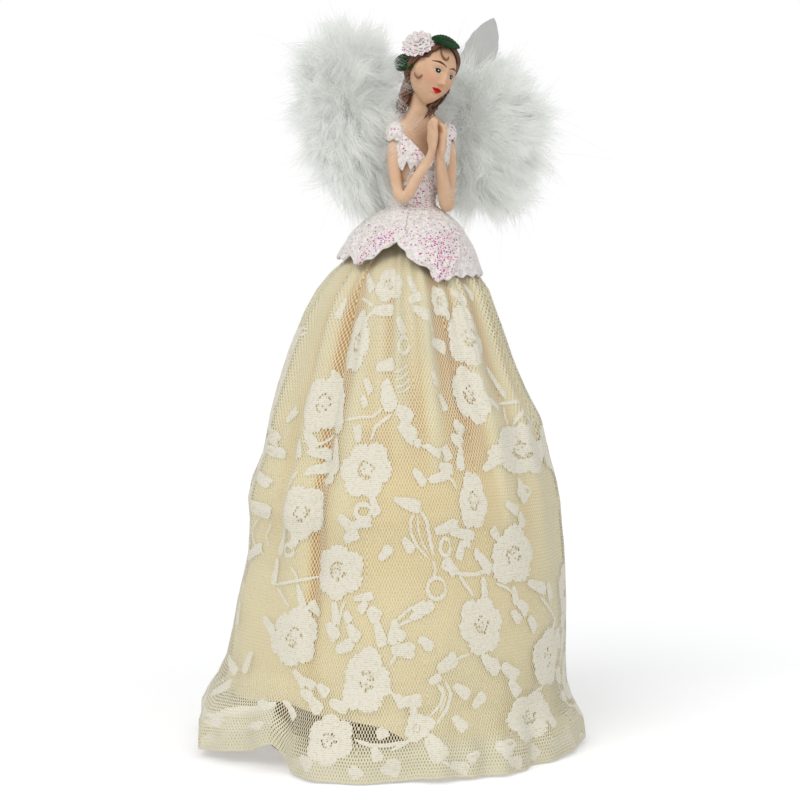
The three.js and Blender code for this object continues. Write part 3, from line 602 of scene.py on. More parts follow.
def net_lay(rows, start):
    """Places on the flat net for the corners of the lace's faces, in its widths between valleys."""
    low = row_heights[:rows - 1, None]
    high = row_heights[1:rows, None]
    middle = (np.arange(lace_columns) + 0.5) * 2 * math.pi / lace_columns
    lay = np.zeros((rows - 1, lace_columns, 4, 2))
    for k, (turn, lean) in enumerate(valleys):
        next_turn, next_lean = valleys[(k + 1) % len(valleys)]
        wide = (next_turn - turn) % (2 * math.pi)

        def edge_at(height):
            return turn + lean * (gown_top - height)

        def width_at(height):
            return wide + (next_lean - lean) * (gown_top - height)
        inside = (middle - edge_at((low + high) / 2)) % (2 * math.pi) < width_at((low + high) / 2)
        for corner, (aside, height) in enumerate(((-0.5, low), (0.5, low), (0.5, high), (-0.5, high))):
            corner_turn = middle + aside * 2 * math.pi / lace_columns
            from_middle = around_between(corner_turn, edge_at(height) + width_at(height) / 2)
            across = from_middle * gown_reach(corner_turn, height) + start
            up = np.interp(height, plain_heights, plain_lengths) + start * 0.4
            lay[..., corner, 0] = np.where(inside, across, lay[..., corner, 0])
            lay[..., corner, 1] = up
    return lay


lace_ground.data.uv_layers["lay"].data.foreach_set("uv", net_lay(lace_rows, 0).ravel())


def unit(ways):
    return ways / np.linalg.norm(ways, axis=-1, keepdims=True)


# The hem is turned in and up inside the gown, which makes its foot milky.
facing_rows = 13
facing_gap = 1.1 * mm
facing_points = lace_points[:facing_rows].copy()
inward = -unit(facing_points[..., :2])
facing_points[..., :2] += inward * facing_gap * np.linspace(0.2, 1, facing_rows)[:, None, None]
facing_flat = (lace_flat_width, lace_length * (facing_rows - 1) / (lace_rows - 1))
hem_facing = cloth_piece(
    "lace_hem_facing", facing_points, net, "root", cut=facing_flat,
    fold=lace_fold[:facing_rows])
hem_facing.data.uv_layers["lay"].data.foreach_set("uv", net_lay(facing_rows, 0.6 * mm).ravel())

along_turn = np.roll(lace_points, -1, 1) - np.roll(lace_points, 1, 1)
up_cloth = np.gradient(lace_points, axis=0)
lace_normals = unit(np.cross(along_turn, up_cloth))


def on_lace(lay, lift):
    """Places on the lace as it hangs, for places on the flat cloth in metres, raised by lift."""
    column = (lay[:, 0] / lace_flat_width * lace_columns) % lace_columns
    row = np.clip(lay[:, 1] / lace_length * (lace_rows - 1), 0, lace_rows - 1.001)
    left, low = np.floor(column).astype(int) % lace_columns, np.floor(row).astype(int)
    right = (left + 1) % lace_columns
    across, up = (column - np.floor(column))[:, None], (row - low)[:, None]

    def blend(values):
        bottom = values[low, left] * (1 - across) + values[low, right] * across
        top = values[low + 1, left] * (1 - across) + values[low + 1, right] * across
        return bottom * (1 - up) + top * up
    return blend(lace_points) + blend(lace_normals) * lift[:, None]


def lace_place(pixel):
    """Where a pixel of the photograph falls on the gown's flat cloth, (along the hem, up) in metres."""
    turn, height = seen_turn, 0.15
    for _ in range(40):
        reach = float(gown_reach(turn, height))
        near = reach * math.cos(turn - seen_turn)
        scale = pixel_size * (1 - near / view_distance)
        aside = (pixel[0] - target_pixel[0]) * scale
        rise = (target_pixel[1] - pixel[1]) * scale
        height = 0.5 * height + 0.5 * (
            view_target.z + (rise + near * math.sin(view_rise)) / math.cos(view_rise))
        height = min(max(height, 0.004), gown_top - 0.01)
        turn = seen_turn + math.asin(max(-0.97, min(0.97, aside / reach)))
    length = float(np.interp(height, plain_heights, plain_lengths))
    return turn / (2 * math.pi) * lace_flat_width, length


class Collector:
    """Collects the points and faces of many small shapes, with a value for each point."""

    def __init__(self):
        self.points, self.values, self.faces, self.count = [], [], [], 0

    def add(self, points, values, faces):
        self.points.append(points)
        self.values.append(values)
        self.faces += [[i + self.count for i in face] for face in faces]
        self.count += len(points)


class Stitches(Collector):
    """The woven shapes of the lace: their points lie on the flat cloth, and their value is the lift."""

    def patch(self, middle, rings, lift, holes=None):
        """A woven patch from its rings of points about a middle, with some of its cells left open."""
        count = len(rings[0])
        lay = [middle + ring for ring in rings]
        lifts = [np.full(count, lift) for _ in rings[:-1]] + [np.full(count, lift * 0.35)]
        faces = []
        for ring in range(len(rings) - 1):
            for i in range(count):
                if holes and holes(ring, i):
                    continue
                a, b = ring * count + i, ring * count + (i + 1) % count
                faces.append((a + count, b + count, b, a))
        faces.append(tuple(range(count)))
        self.add(np.concatenate(lay), np.concatenate(lifts), faces)

    def ribbon(self, path, wide, lift):
        """A narrow woven line along a path on the flat cloth, tapered at its ends."""
        slope = np.gradient(path, axis=0)
        aside = unit(np.stack((-slope[:, 1], slope[:, 0]), -1))
        share = np.linspace(0, 1, len(path))
        half = (wide / 2 * np.minimum(1, 4 * np.minimum(share, 1 - share) + 0.35))[:, None]
        lay = np.concatenate((path - aside * half, path, path + aside * half))
        count = len(path)
        lifts = np.concatenate((np.full(count, lift * 0.3), np.full(count, lift), np.full(count, lift * 0.3)))
        faces = []
        for i in range(count - 1):
            for strip in (0, count):
                faces.append((strip + i, strip + i + 1, strip + i + 1 + count, strip + i + count))
        self.add(lay, lifts, faces)


stitches = Stitches()
flower_lift = 0.17 * mm
leaf_lift = 0.15 * mm
stem_lift = 0.13 * mm


def woven_flower(middle, half, lobes):
    """A lobed flower with stepped petal edges and uneven eyelets round its middle."""
    count = 84
    angles = np.linspace(0, 2 * math.pi, count, endpoint=False)
    phase = chance.uniform(0, 6)
    petals = np.abs(np.cos(lobes / 2 * (angles - phase))) ** 0.6
    uneven = 0.05 * np.cos(2 * angles + phase) + 0.04 * np.cos(3 * angles + 2 * phase)
    steps = 0.028 * np.sign(np.sin(27 * angles)) + chance.normal(0, 0.014, count)
    reach = 0.80 + 0.19 * petals + uneven + steps
    outline = np.stack((half[0] * np.cos(angles), half[1] * np.sin(angles)), -1)
    heart = outline * 0.95
    outline = outline * reach[:, None]
    shares = np.linspace(0.44, 1, 8)
    rings = [heart * share for share in (0.07, 0.14, 0.21, 0.28, 0.36)]
    rings += [outline * share for share in shares]
    open_cells = chance.uniform(0, 1, (5, 14)) < np.array((0.25, 0.1, 0.5, 0.42, 0))[:, None]

    def eyelet(ring, i):
        return ring < 5 and open_cells[ring, i * 14 // count] and i % 6 != 0
    stitches.patch(middle, rings, flower_lift, eyelet)


def woven_leaf(start, end, wide):
    """A small solid leaf between two places, with an uneven edge."""
    angles = np.linspace(0, 2 * math.pi, 20, endpoint=False)
    fullness = 1 - 0.1 * np.cos(4 * angles) + chance.normal(0, 0.05, 20)
    along = (end - start) / 2
    long = float(np.hypot(*along))
    aside = np.array((-along[1], along[0])) / long * wide * 0.66
    local = (np.cos(angles) * fullness)[:, None] * along * 1.25
    local = local + (np.sin(angles) * fullness * (1 + 0.3 * np.cos(angles)))[:, None] * aside
    stitches.patch((start + end) / 2, [local * share for share in (0.3, 0.65, 1)], leaf_lift)


def leaf_cluster(middle, turn, count, size):
    """A spray of small leaves or buds that fan out from one point."""
    for i in range(count):
        spread = turn + (i - (count - 1) / 2) * 0.85 + chance.uniform(-0.15, 0.15)
        long = size * chance.uniform(0.8, 1.15)
        reach = np.array((math.cos(spread), math.sin(spread))) * long
        woven_leaf(middle, middle + reach, long * chance.uniform(0.55, 0.72))


def woven_ring(middle, half, wide):
    angles = np.linspace(0.3, 0.3 + 2 * math.pi, 22)
    path = np.stack((half[0] * np.cos(angles), half[1] * np.sin(angles)), -1)
    stitches.ribbon(middle + path, wide, leaf_lift)


def arc_between(start, end, bow, count=16):
    share = np.linspace(0, 1, count)[:, None]
    aside = np.array((-(end - start)[1], (end - start)[0]))
    return start * (1 - share) + end * share + aside * bow * np.sin(math.pi * share)


# The flowers that the photograph shows: middle, half width and half height, in its pixels.
seen_flowers = (
    (366, 470, 25, 30), (303, 513, 19, 30), (337, 573, 25, 30), (291, 640, 24, 32), (366, 684, 25, 34),
    (331, 745, 23, 29), (483, 628, 23, 30), (515, 557, 21, 30), (521, 450, 22, 28), (474, 502, 15, 30),
    (548, 660, 12, 31), (534, 722, 21, 28), (471, 395, 16, 30), (357, 343, 14, 31), (323, 404, 18, 31),
    (466, 337, 17, 30), (417, 735, 13, 15), (390, 286, 13, 18), (440, 302, 9, 15),
)
# The leaves between them, each from one end to the other with its width, in pixels.
seen_leaves = (
    (374, 311, 392, 310, 9), (432, 341, 446, 349, 10), (378, 367, 393, 364, 10), (385, 382, 392, 408, 14),
    (366, 380, 371, 392, 7), (363, 396, 366, 406, 6), (336, 386, 337, 430, 13), (334, 440, 334, 472, 9),
    (359, 441, 358, 426, 8), (398, 408, 411, 420, 13), (401, 424, 414, 438, 13), (415, 441, 420, 445, 7),
    (307, 336, 299, 351, 7), (297, 356, 285, 394, 7), (275, 424, 281, 440, 10), (271, 446, 283, 454, 8),
    (300, 440, 300, 457, 9), (306, 472, 329, 467, 9), (320, 450, 330, 478, 8), (489, 369, 505, 395, 7),
    (488, 400, 499, 408, 6), (456, 422, 465, 433, 9), (453, 437, 463, 444, 9), (445, 447, 450, 460, 9),
    (440, 466, 453, 470, 8), (462, 450, 462, 470, 8), (426, 446, 440, 455, 6), (320, 484, 331, 478, 7),
    (372, 498, 377, 515, 8), (340, 518, 352, 530, 9), (353, 526, 370, 522, 8), (345, 541, 357, 533, 9),
    (394, 499, 402, 503, 5), (402, 502, 419, 508, 10), (425, 604, 414, 612, 6), (395, 622, 392, 645, 7),
    (253, 502, 268, 513, 11), (285, 530, 278, 554, 7), (291, 548, 296, 539, 8), (275, 560, 271, 585, 7),
    (296, 588, 300, 608, 6), (333, 605, 336, 625, 7), (327, 626, 336, 640, 10), (345, 614, 350, 623, 7),
    (355, 600, 372, 597, 6), (366, 603, 360, 613, 7), (369, 611, 379, 620, 11), (348, 628, 358, 640, 9),
    (377, 625, 383, 646, 8), (337, 653, 352, 645, 9), (393, 652, 413, 653, 11), (430, 481, 450, 474, 8),
    (437, 532, 458, 525, 9), (447, 560, 456, 575, 8), (464, 543, 460, 560, 7), (478, 550, 480, 561, 6),
    (470, 533, 468, 548, 7), (485, 580, 487, 598, 6), (520, 480, 526, 502, 10), (507, 504, 518, 512, 8),
    (520, 514, 524, 527, 9), (530, 584, 545, 591, 9), (548, 585, 551, 600, 9), (515, 589, 518, 605, 7),
    (520, 604, 528, 613, 10), (514, 614, 521, 623, 8), (530, 619, 536, 631, 9), (556, 620, 552, 640, 7),
    (243, 604, 240, 626, 7), (290, 675, 300, 690, 7), (300, 684, 312, 691, 7), (297, 696, 309, 703, 8),
    (317, 689, 326, 698, 8), (308, 704, 319, 716, 10), (398, 698, 402, 711, 6), (399, 706, 420, 704, 10),
    (413, 711, 414, 722, 6), (430, 686, 440, 680, 7), (440, 673, 457, 661, 11), (380, 733, 384, 743, 9),
    (430, 745, 442, 768, 14), (374, 754, 379, 767, 7), (396, 768, 388, 785, 13), (486, 660, 500, 675, 10),
    (505, 669, 518, 680, 11), (512, 685, 520, 698, 10), (497, 751, 510, 761, 10), (480, 761, 470, 769, 8),
    (539, 754, 545, 776, 11), (213, 701, 230, 690, 9), (205, 719, 226, 736, 11), (240, 744, 252, 753, 8),
    (300, 765, 312, 774, 10), (352, 773, 360, 784, 9), (452, 774, 468, 780, 9), (508, 768, 522, 776, 9),
    (250, 655, 243, 675, 8), (254, 715, 262, 730, 8), (440, 395, 447, 410, 7), (432, 372, 437, 385, 6),
    (366, 276, 373, 290, 9), (408, 278, 416, 292, 9), (410, 300, 420, 296, 8), (452, 292, 462, 302, 9),
    (466, 286, 474, 298, 8), (348, 276, 342, 290, 8), (413, 308, 428, 316, 9), (307, 430, 313, 447, 9),
    (309, 452, 326, 456, 8), (452, 533, 474, 537, 8),
    (480, 556, 492, 572, 9), (395, 632, 404, 640, 8), (412, 620, 432, 606, 8), (412, 722, 434, 732, 9),
    (545, 712, 556, 730, 9), (443, 300, 450, 318, 8), (398, 318, 404, 332, 8), (345, 300, 338, 318, 8),
    (330, 372, 334, 386, 8), (288, 420, 296, 410, 8), (262, 470, 270, 484, 8), (252, 560, 262, 548, 8),
    (414, 470, 424, 484, 8), (404, 540, 412, 552, 8), (380, 560, 390, 548, 8), (316, 616, 306, 606, 8),
    (262, 620, 270, 634, 8), (228, 660, 236, 676, 8), (420, 640, 432, 650, 8), (456, 690, 470, 700, 9),
    (476, 712, 486, 700, 8), (455, 724, 466, 736, 9), (545, 640, 540, 652, 8), (500, 430, 508, 442, 8),
    (486, 470, 496, 460, 8), (500, 540, 494, 530, 8), (330, 706, 346, 712, 9), (276, 716, 288, 726, 8),
)
# The rings of stitches beside them: middle, half width, half height and width of the line.
seen_rings = (
    (404, 345, 5, 8, 4), (309, 331, 4, 3, 2.5), (363, 512, 8, 7, 5), (437, 590, 9, 11, 4),
    (446, 548, 5, 9, 4), (449, 566, 5, 5, 4), (289, 551, 5, 5, 4), (525, 492, 5, 6, 4),
    (495, 668, 6, 6, 4), (509, 751, 6, 5, 4), (388, 396, 6, 10, 4),
)
# The stems and the lines of the curled leaves, each with its width and its places.
seen_lines = (
    (3, 360, 299, 367, 301, 374, 307), (4, 366, 323, 371, 314, 379, 308), (3, 428, 309, 430, 322, 434, 338),
    (2, 393, 372, 401, 370, 408, 365), (2, 395, 380, 403, 377, 409, 371), (2, 396, 387, 404, 385, 410, 378),
    (2, 398, 392, 405, 391, 411, 385), (3, 345, 420, 360, 417, 373, 417, 386, 405),
    (4, 371, 440, 376, 426, 392, 414), (3, 499, 404, 508, 403, 521, 398), (4, 505, 406, 506, 416, 509, 425),
    (4, 518, 403, 517, 414, 514, 425), (3, 414, 514, 410, 524, 412, 537, 418, 548, 430, 561),
    (4, 420, 511, 427, 521, 429, 533, 431, 545, 434, 556), (2, 418, 516, 418, 530, 423, 545, 430, 556),
    (3, 433, 562, 436, 570, 434, 580), (3, 413, 608, 405, 614, 397, 622), (3, 411, 622, 404, 624, 397, 629),
    (2.5, 262, 518, 257, 530, 258, 543, 265, 557), (2.5, 270, 524, 266, 536, 269, 549),
    (3, 273, 586, 290, 583, 314, 579), (3, 275, 590, 281, 597, 287, 608), (3, 291, 568, 294, 575, 297, 585),
    (3, 396, 644, 401, 647, 407, 651), (3, 449, 477, 454, 482, 458, 490),
    (4, 451, 571, 463, 576, 478, 576, 496, 569), (3.5, 460, 577, 467, 586, 475, 598),
    (3, 541, 598, 548, 608, 556, 621), (3, 390, 667, 394, 660, 400, 652),
    (3, 438, 688, 444, 697, 441, 710, 429, 723), (3.5, 446, 684, 452, 698, 448, 714, 437, 731),
    (2, 442, 689, 447, 703, 440, 720), (3, 458, 662, 463, 660, 471, 657),
    (4, 356, 744, 370, 750, 386, 752, 406, 748), (4, 390, 758, 405, 750, 420, 742, 433, 742),
    (3, 386, 690, 393, 697, 399, 708), (3, 345, 603, 341, 612, 338, 628), (3, 300, 470, 293, 480, 288, 490),
    (3, 486, 655, 487, 664, 490, 672), (3, 420, 445, 432, 450, 444, 449), (3, 330, 435, 318, 445, 304, 441),
    (3, 440, 770, 455, 778, 470, 775), (3, 498, 585, 510, 590, 518, 600), (3, 543, 690, 538, 694, 530, 700),
)


def laid(*pixel):
    return np.array(lace_place(pixel))


repeats = (0, lace_flat_width / 2)
middles = []
for start in repeats:
    moved = np.array((start, 0))
    for i, (x, y, wide, high) in enumerate(seen_flowers):
        half = np.array((
            (laid(x + wide, y) - laid(x - wide, y))[0] / 2, (laid(x, y - high) - laid(x, y + high))[1] / 2))
        middles.append(moved + (laid(x, y - high) + laid(x, y + high)) / 2)
        woven_flower(middles[-1], half, (6, 5, 6)[i % 3])
    for x, y, end_x, end_y, wide in seen_leaves:
        woven_leaf(moved + laid(x, y), moved + laid(end_x, end_y), wide * pixel_size)
    for x, y, wide, high, line in seen_rings:
        half = np.abs((laid(x + wide, y - high) - laid(x - wide, y + high)) / 2)
        woven_ring(moved + laid(x, y), half, line * pixel_size)
    for wide, *path in seen_lines:
        stops = np.array([laid(x, y) for x, y in zip(path[::2], path[1::2])])
        share = np.linspace(0, len(stops) - 1, 6 * len(stops))
        smooth = np.stack([np.interp(share, range(len(stops)), stops[:, k]) for k in (0, 1)], -1)
        for _ in range(3):
            smooth[1:-1] = (smooth[:-2] + 2 * smooth[1:-1] + smooth[2:]) / 4
        stitches.ribbon(moved + smooth, wide * pixel_size, stem_lift)

# The same lace goes on at the sides, where the photograph doesn't show it: a flower wherever there is
# room for one, with leafy stems to the two nearest.
flower_apart = 31 * mm
flower_half = 16.5 * mm
stem_start = 15 * mm
highest_flower = 0.24
for _ in range(3000):
    trial = np.array((chance.uniform(0, lace_flat_width), chance.uniform(0.012, lace_length - 0.02)))
    away = np.array(middles) - trial
    away[:, 0] = (away[:, 0] + lace_flat_width / 2) % lace_flat_width - lace_flat_width / 2
    past_seen = (trial[0] / lace_flat_width * 360 - 163) % 180
    distances = np.hypot(away[:, 0], away[:, 1])
    if distances.min() < flower_apart or trial[1] > highest_flower or past_seen < 162:
        continue
    middles.append(trial)
    woven_flower(trial, (flower_half, flower_half), 6)
    for reach in away[np.argsort(distances)[:2]]:
        share = stem_start / float(np.hypot(*reach))
        start, end = trial + reach * share, trial + reach * (1 - share)
        path = arc_between(start, end, chance.uniform(0.12, 0.3))
        stitches.ribbon(path, 1.6 * mm, stem_lift)
        for share in (0.25, 0.6, 0.9):
            k = int(share * (len(path) - 1))
            heading = math.atan2(*(path[min(k + 1, 15)] - path[k - 1])[::-1])
            leaf_cluster(path[k], heading + chance.choice((-1, 1)), chance.integers(2, 5), 7.5 * mm)


def woven_shader(tree):
    place = object_place(tree)
    ribs = node(tree, "TexWave", {
        "Vector": place, "Scale": 290, "Distortion": 1.6, "Detail": 2, "Detail Scale": 3},
        bands_direction="Z")
    mixed = calc(tree, "MULTIPLY_ADD", ribs.outputs["Fac"], 0.3, uneven(tree, place, 700, 3))
    return node(tree, "BsdfPrincipled", {
        "Base Color": tones(tree, mixed, (0.38, dye(216, 206, 175)), (0.62, dye(227, 222, 206))),
        "Roughness": 0.85, "Sheen Weight": 0.15,
        "Alpha": lets_light_by(tree, share_of(tree, mixed, 0.3, 0.6, least=0.78)),
        "Normal": raised(tree, ribs.outputs["Fac"], 0.4, 0.08 * mm)})


woven = new_material("woven_cotton", woven_shader)
lay = np.concatenate(stitches.points)
lay[:, 1] = np.clip(lay[:, 1], 0.5 * mm, lace_length - 0.5 * mm)
lace_flowers = new_piece("lace_flowers", on_lace(lay, np.concatenate(stitches.values)), stitches.faces)
lace_flowers.data.shade_smooth()
lace_flowers.data.materials.append(woven)
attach(lace_flowers, "root")

# Gathering thread: a stout two-ply cotton thread, tied round the gathers over the cone's top.
# It draws net, satin and lace together, and the petals cover it.
thread_ring = 21.2 * mm
thread_half = 0.85 * mm
thread_height = 286 * mm
ply_turns = 64
least_pinch = 0.56

bpy.ops.object.select_all(action="DESELECT")
bpy.ops.mesh.primitive_torus_add(
    major_segments=640, minor_segments=14, major_radius=thread_ring, minor_radius=thread_half)
gathering = bpy.context.object
gathering.name = "gathering_thread"
for vertex in gathering.data.vertices:
    x, y, z = vertex.co
    around = math.atan2(y, x)
    out = math.hypot(x, y) - thread_ring
    twist = math.cos(2 * math.atan2(z, out) - ply_turns * around)
    pinch = (1 + least_pinch + (1 - least_pinch) * twist) / 2
    reach = thread_ring + out * pinch
    vertex.co = (reach * math.cos(around), reach * math.sin(around), z * pinch + thread_height)


def select_only(piece):
    bpy.ops.object.select_all(action="DESELECT")
    piece.select_set(True)
    bpy.context.view_layer.objects.active = piece


def finish_piece(piece, material, body, replaced):
    """Puts a piece's place in its mesh, gives it its material and its body, and hides the CAD node that it
    replaces.
    """
    select_only(piece)
    bpy.ops.object.transform_apply(location=True, rotation=True, scale=True)
    bpy.ops.object.shade_smooth()
    piece.data.materials.clear()
    piece.data.materials.append(material)
    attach(piece, body)
    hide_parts(replaced)


thread = mottled("cotton_thread", dye(214, 202, 172), dye(232, 224, 200), 0.5 * mm, 0.9, 0.05 * mm)
finish_piece(gathering, thread, "root", "gathering_cord")

# Torso and neck: one resin casting, painted skin colour, that sits on the cone's rim over the dowel.
# It is round at its foot, narrow at the waist, and leans forward over the praying hands.
figure_foot = 280.3 * mm
torso_height = 75 * mm
shoulder_place = (6 * mm, -8 * mm)
torso_half = (17 * mm, 12 * mm)

# Each row: shares of the torso's height, of its lean, of its half width and of its half depth.
torso_rows = np.array([
    (0.00, 0.00, 0.847, 1.2),
    (0.12, 0.17, 0.84, 1.09),
    (0.27, 0.48, 0.73, 0.88),
    (0.36, 0.58, 0.68, 0.80),
    (0.49, 0.70, 0.76, 0.86),
    (0.63, 0.85, 0.92, 1.00),
    (0.72, 0.94, 0.97, 0.95),
    (0.81, 1.00, 0.99, 0.81),
    (0.88, 1.00, 0.93, 0.68),
    (0.93, 1.00, 0.78, 0.59),
    (0.97, 1.00, 0.58, 0.52),
])


def torso_shares(rise):
    """The torso's lean, half width and half depth at a height above its foot, as shares."""
    return table_at(torso_rows, rise / torso_height, 1, 2, 3)


def torso_level(rise):
    """The torso's centre, half width and half depth at a height above its foot."""
    lean, wide, deep = torso_shares(rise)
    centre = Vector((shoulder_place[0] * lean, shoulder_place[1] * lean, figure_foot + rise))
    return centre, wide * torso_half[0], deep * torso_half[1]


chest_shadow_place = (8.5 * mm, -18.5 * mm, 340 * mm)


def skin_shader(tree):
    """Painted skin, with a painted shadow that darkens the hollow between the chest and the hands."""
    place = object_place(tree)
    clouds = uneven(tree, place, 110, 4)
    tone = tones(tree, clouds, (0.3, dye(210, 172, 140)), (0.7, dye(226, 190, 158)))
    # Painted shadow: the skin darkens to brown towards the hollow under the head and hands, and the hands in
    # front of it are left out.
    off = node(tree, "VectorMath", {0: place, 1: chest_shadow_place}, operation="DISTANCE")
    near = share_of(tree, off.outputs["Value"], 19 * mm, 4 * mm, most=0.75)
    chest = node(tree, "SeparateXYZ", {"Vector": place})
    shade = calc(tree, "MULTIPLY", near, share_of(tree, chest.outputs["Y"], -23.5 * mm, -21 * mm))
    return node(tree, "BsdfPrincipled", {
        "Base Color": paint_over(tree, tone, dye(138, 98, 68), shade),
        "Roughness": 0.5, "Specular IOR Level": 0.25, "Subsurface Weight": 0.05,
        "Subsurface Scale": 0.002, "Normal": raised(tree, clouds, 0.3, 0.03 * mm)})


skin_finish = new_material("painted_skin", skin_shader)

rings = [torso_level(share * torso_height) for share in torso_rows[:, 0]]
# The neck's rings: x, y, z and radius, in mm.
neck_levels = (
    (4.4, -8.6, 355.3, 7.0), (4.2, -9.6, 359.5, 5.3), (4.3, -10.8, 364, 4.9), (5.3, -12.4, 369, 5.2))
rings += [(Vector((x * mm, y * mm, z * mm)), r * mm, r * mm) for x, y, z, r in neck_levels]
bpy.ops.object.select_all(action="DESELECT")
centre, wide, deep = rings[0]
bpy.ops.mesh.primitive_circle_add(vertices=28, radius=1, fill_type="NGON", location=centre)
torso = bpy.context.object
torso.name = "torso_casting"
bpy.ops.object.mode_set(mode="EDIT")
bpy.ops.mesh.select_all(action="SELECT")
bpy.ops.transform.resize(value=(wide, deep, 1), center_override=centre)
for k in range(1, len(rings)):
    moved = rings[k][0] - centre
    bpy.ops.mesh.extrude_region_move(TRANSFORM_OT_translate={"value": moved})
    bpy.ops.transform.resize(
        value=(rings[k][1] / wide, rings[k][2] / deep, 1), center_override=rings[k][0])
    centre, wide, deep = rings[k]
bpy.ops.mesh.select_all(action="SELECT")
bpy.ops.mesh.normals_make_consistent(inside=False)
bpy.ops.object.mode_set(mode="OBJECT")


def with_modifier(piece, kind, **settings):
    """Adds a modifier and applies it."""
    select_only(piece)
    made = piece.modifiers.new(kind.lower(), kind)
    for name, value in settings.items():
        setattr(made, name, value)
    bpy.ops.object.modifier_apply(modifier=made.name)


with_modifier(torso, "SUBSURF", levels=2, render_levels=2)
finish_piece(torso, skin_finish, "root", "torso")

# Arms: two thin resin castings, glued at the shoulders, that bend at the elbow and join in prayer.
# Each is a bare arm, a flat palm, four fingers that bend at the knuckles, and a thumb.


def smooth_line(stops, count):
    """Points evenly spread on a smooth line through the stops. A row may hold sizes too."""
    stops = np.asarray(stops, float)
    ends = np.concatenate((2 * stops[:1] - stops[1:2], stops, 2 * stops[-1:] - stops[-2:-1]))
    place = np.linspace(0, len(stops) - 1, count)
    first = np.minimum(place.astype(int), len(stops) - 2)
    t = (place - first)[:, None]
    a, b, c, d = (ends[first + i] for i in range(4))
    return 0.5 * (2 * b + (c - a) * t + (2 * a - 5 * b + 4 * c - d) * t ** 2 + (3 * (b - c) + d - a) * t ** 3)


def tint_piece(piece, shares):
    """Gives each point of a piece its tint, which its material reads."""
    values = np.broadcast_to(np.asarray(shares, float).ravel(), len(piece.data.vertices))
    piece.data.attributes.new("tint", "FLOAT", "POINT").data.foreach_set("value", np.array(values))


class Rods(Collector):
    """Rounded rods for one mesh, each with its tint as its value."""

    def rod(self, path, radii, sides=10, aside=(0.3, 0.5, 0.8), flat=1.0, grooves=0, groove=0.0, tint=0.0):
        """A closed rod along a path, with rounded ends: flat is its depth as a share of its width."""
        path, radii = np.asarray(path, float), np.asarray(radii, float)
        slopes = unit(np.gradient(path, axis=0))
        angles = np.arange(sides) * 2 * math.pi / sides
        swell = (1 + groove * np.cos(grooves * angles))[:, None]
        side = np.array(aside, float)

        def rounded(end, way, sink):
            past = way * slopes[end] * radii[end] * flat * sink
            return path[end] + past, slopes[end], radii[end] * math.sqrt(1 - sink ** 2)
        levels = [rounded(0, -1, sink) for sink in (0.95, 0.7, 0.35)]
        levels += list(zip(path, slopes, radii))
        levels += [rounded(-1, 1, sink) for sink in (0.35, 0.7, 0.95)]
        rings = []
        for here, way, radius in levels:
            side = side - way * side.dot(way)
            side /= np.linalg.norm(side)
            over = np.cross(way, side)
            spoke = np.cos(angles)[:, None] * side + flat * np.sin(angles)[:, None] * over
            rings.append(here + radius * spoke * swell)
        count = len(rings)
        faces = []
        for row in range(count - 1):
            for i in range(sides):
                a, b = row * sides + i, row * sides + (i + 1) % sides
                faces.append((a, b, b + sides, a + sides))
        faces.append(tuple(reversed(range(sides))))
        faces.append(tuple(range((count - 1) * sides, count * sides)))
        points = np.concatenate(rings)
        self.add(points, np.full(len(points), tint), faces)

    def piece(self, name, turned=None):
        """A new object of all the rods, each point moved by turned where it is given."""
        points = np.concatenate(self.points)
        if turned is not None:
            points = turned(points)
        made = new_piece(name, points, self.faces)
        tint_piece(made, np.concatenate(self.values))
        return made


# Each row: x aside from the body's middle, the middle's own x, y, z and the arm's radius, in mm.
arm_rows = np.array([
    (12.8, 6.0, -8.0, 345.5, 3.3),
    (16.3, 6.0, -8.6, 338.5, 3.7),
    (16.4, 4.9, -10.4, 325.3, 3.5),
    (13.6, 3.4, -14.2, 309.6, 3.1),
    (10.8, 3.5, -18.0, 309.0, 3.2),
    (7.4, 4.3, -21.9, 318.6, 3.0),
    (3.4, 5.5, -26.0, 328.6, 2.35),
    (2.0, 6.0, -27.6, 334.5, 2.1),
])
# The left elbow hangs lower, further out and is fuller. Each row: what is added to the one above.
left_more = np.array([
    (0, 0, 0, 0, 0), (0, 0, 0, 0, 0.2), (1.2, 0, 0, -1, 0.6), (2.6, 0, 0, -3.4, 1.0),
    (2.8, 0, 0, -3.6, 1.0), (1.2, 0, 0, -2, 0.6), (0.4, 0, 0, 0, 0.3), (0, 0, 0, 0, 0),
])
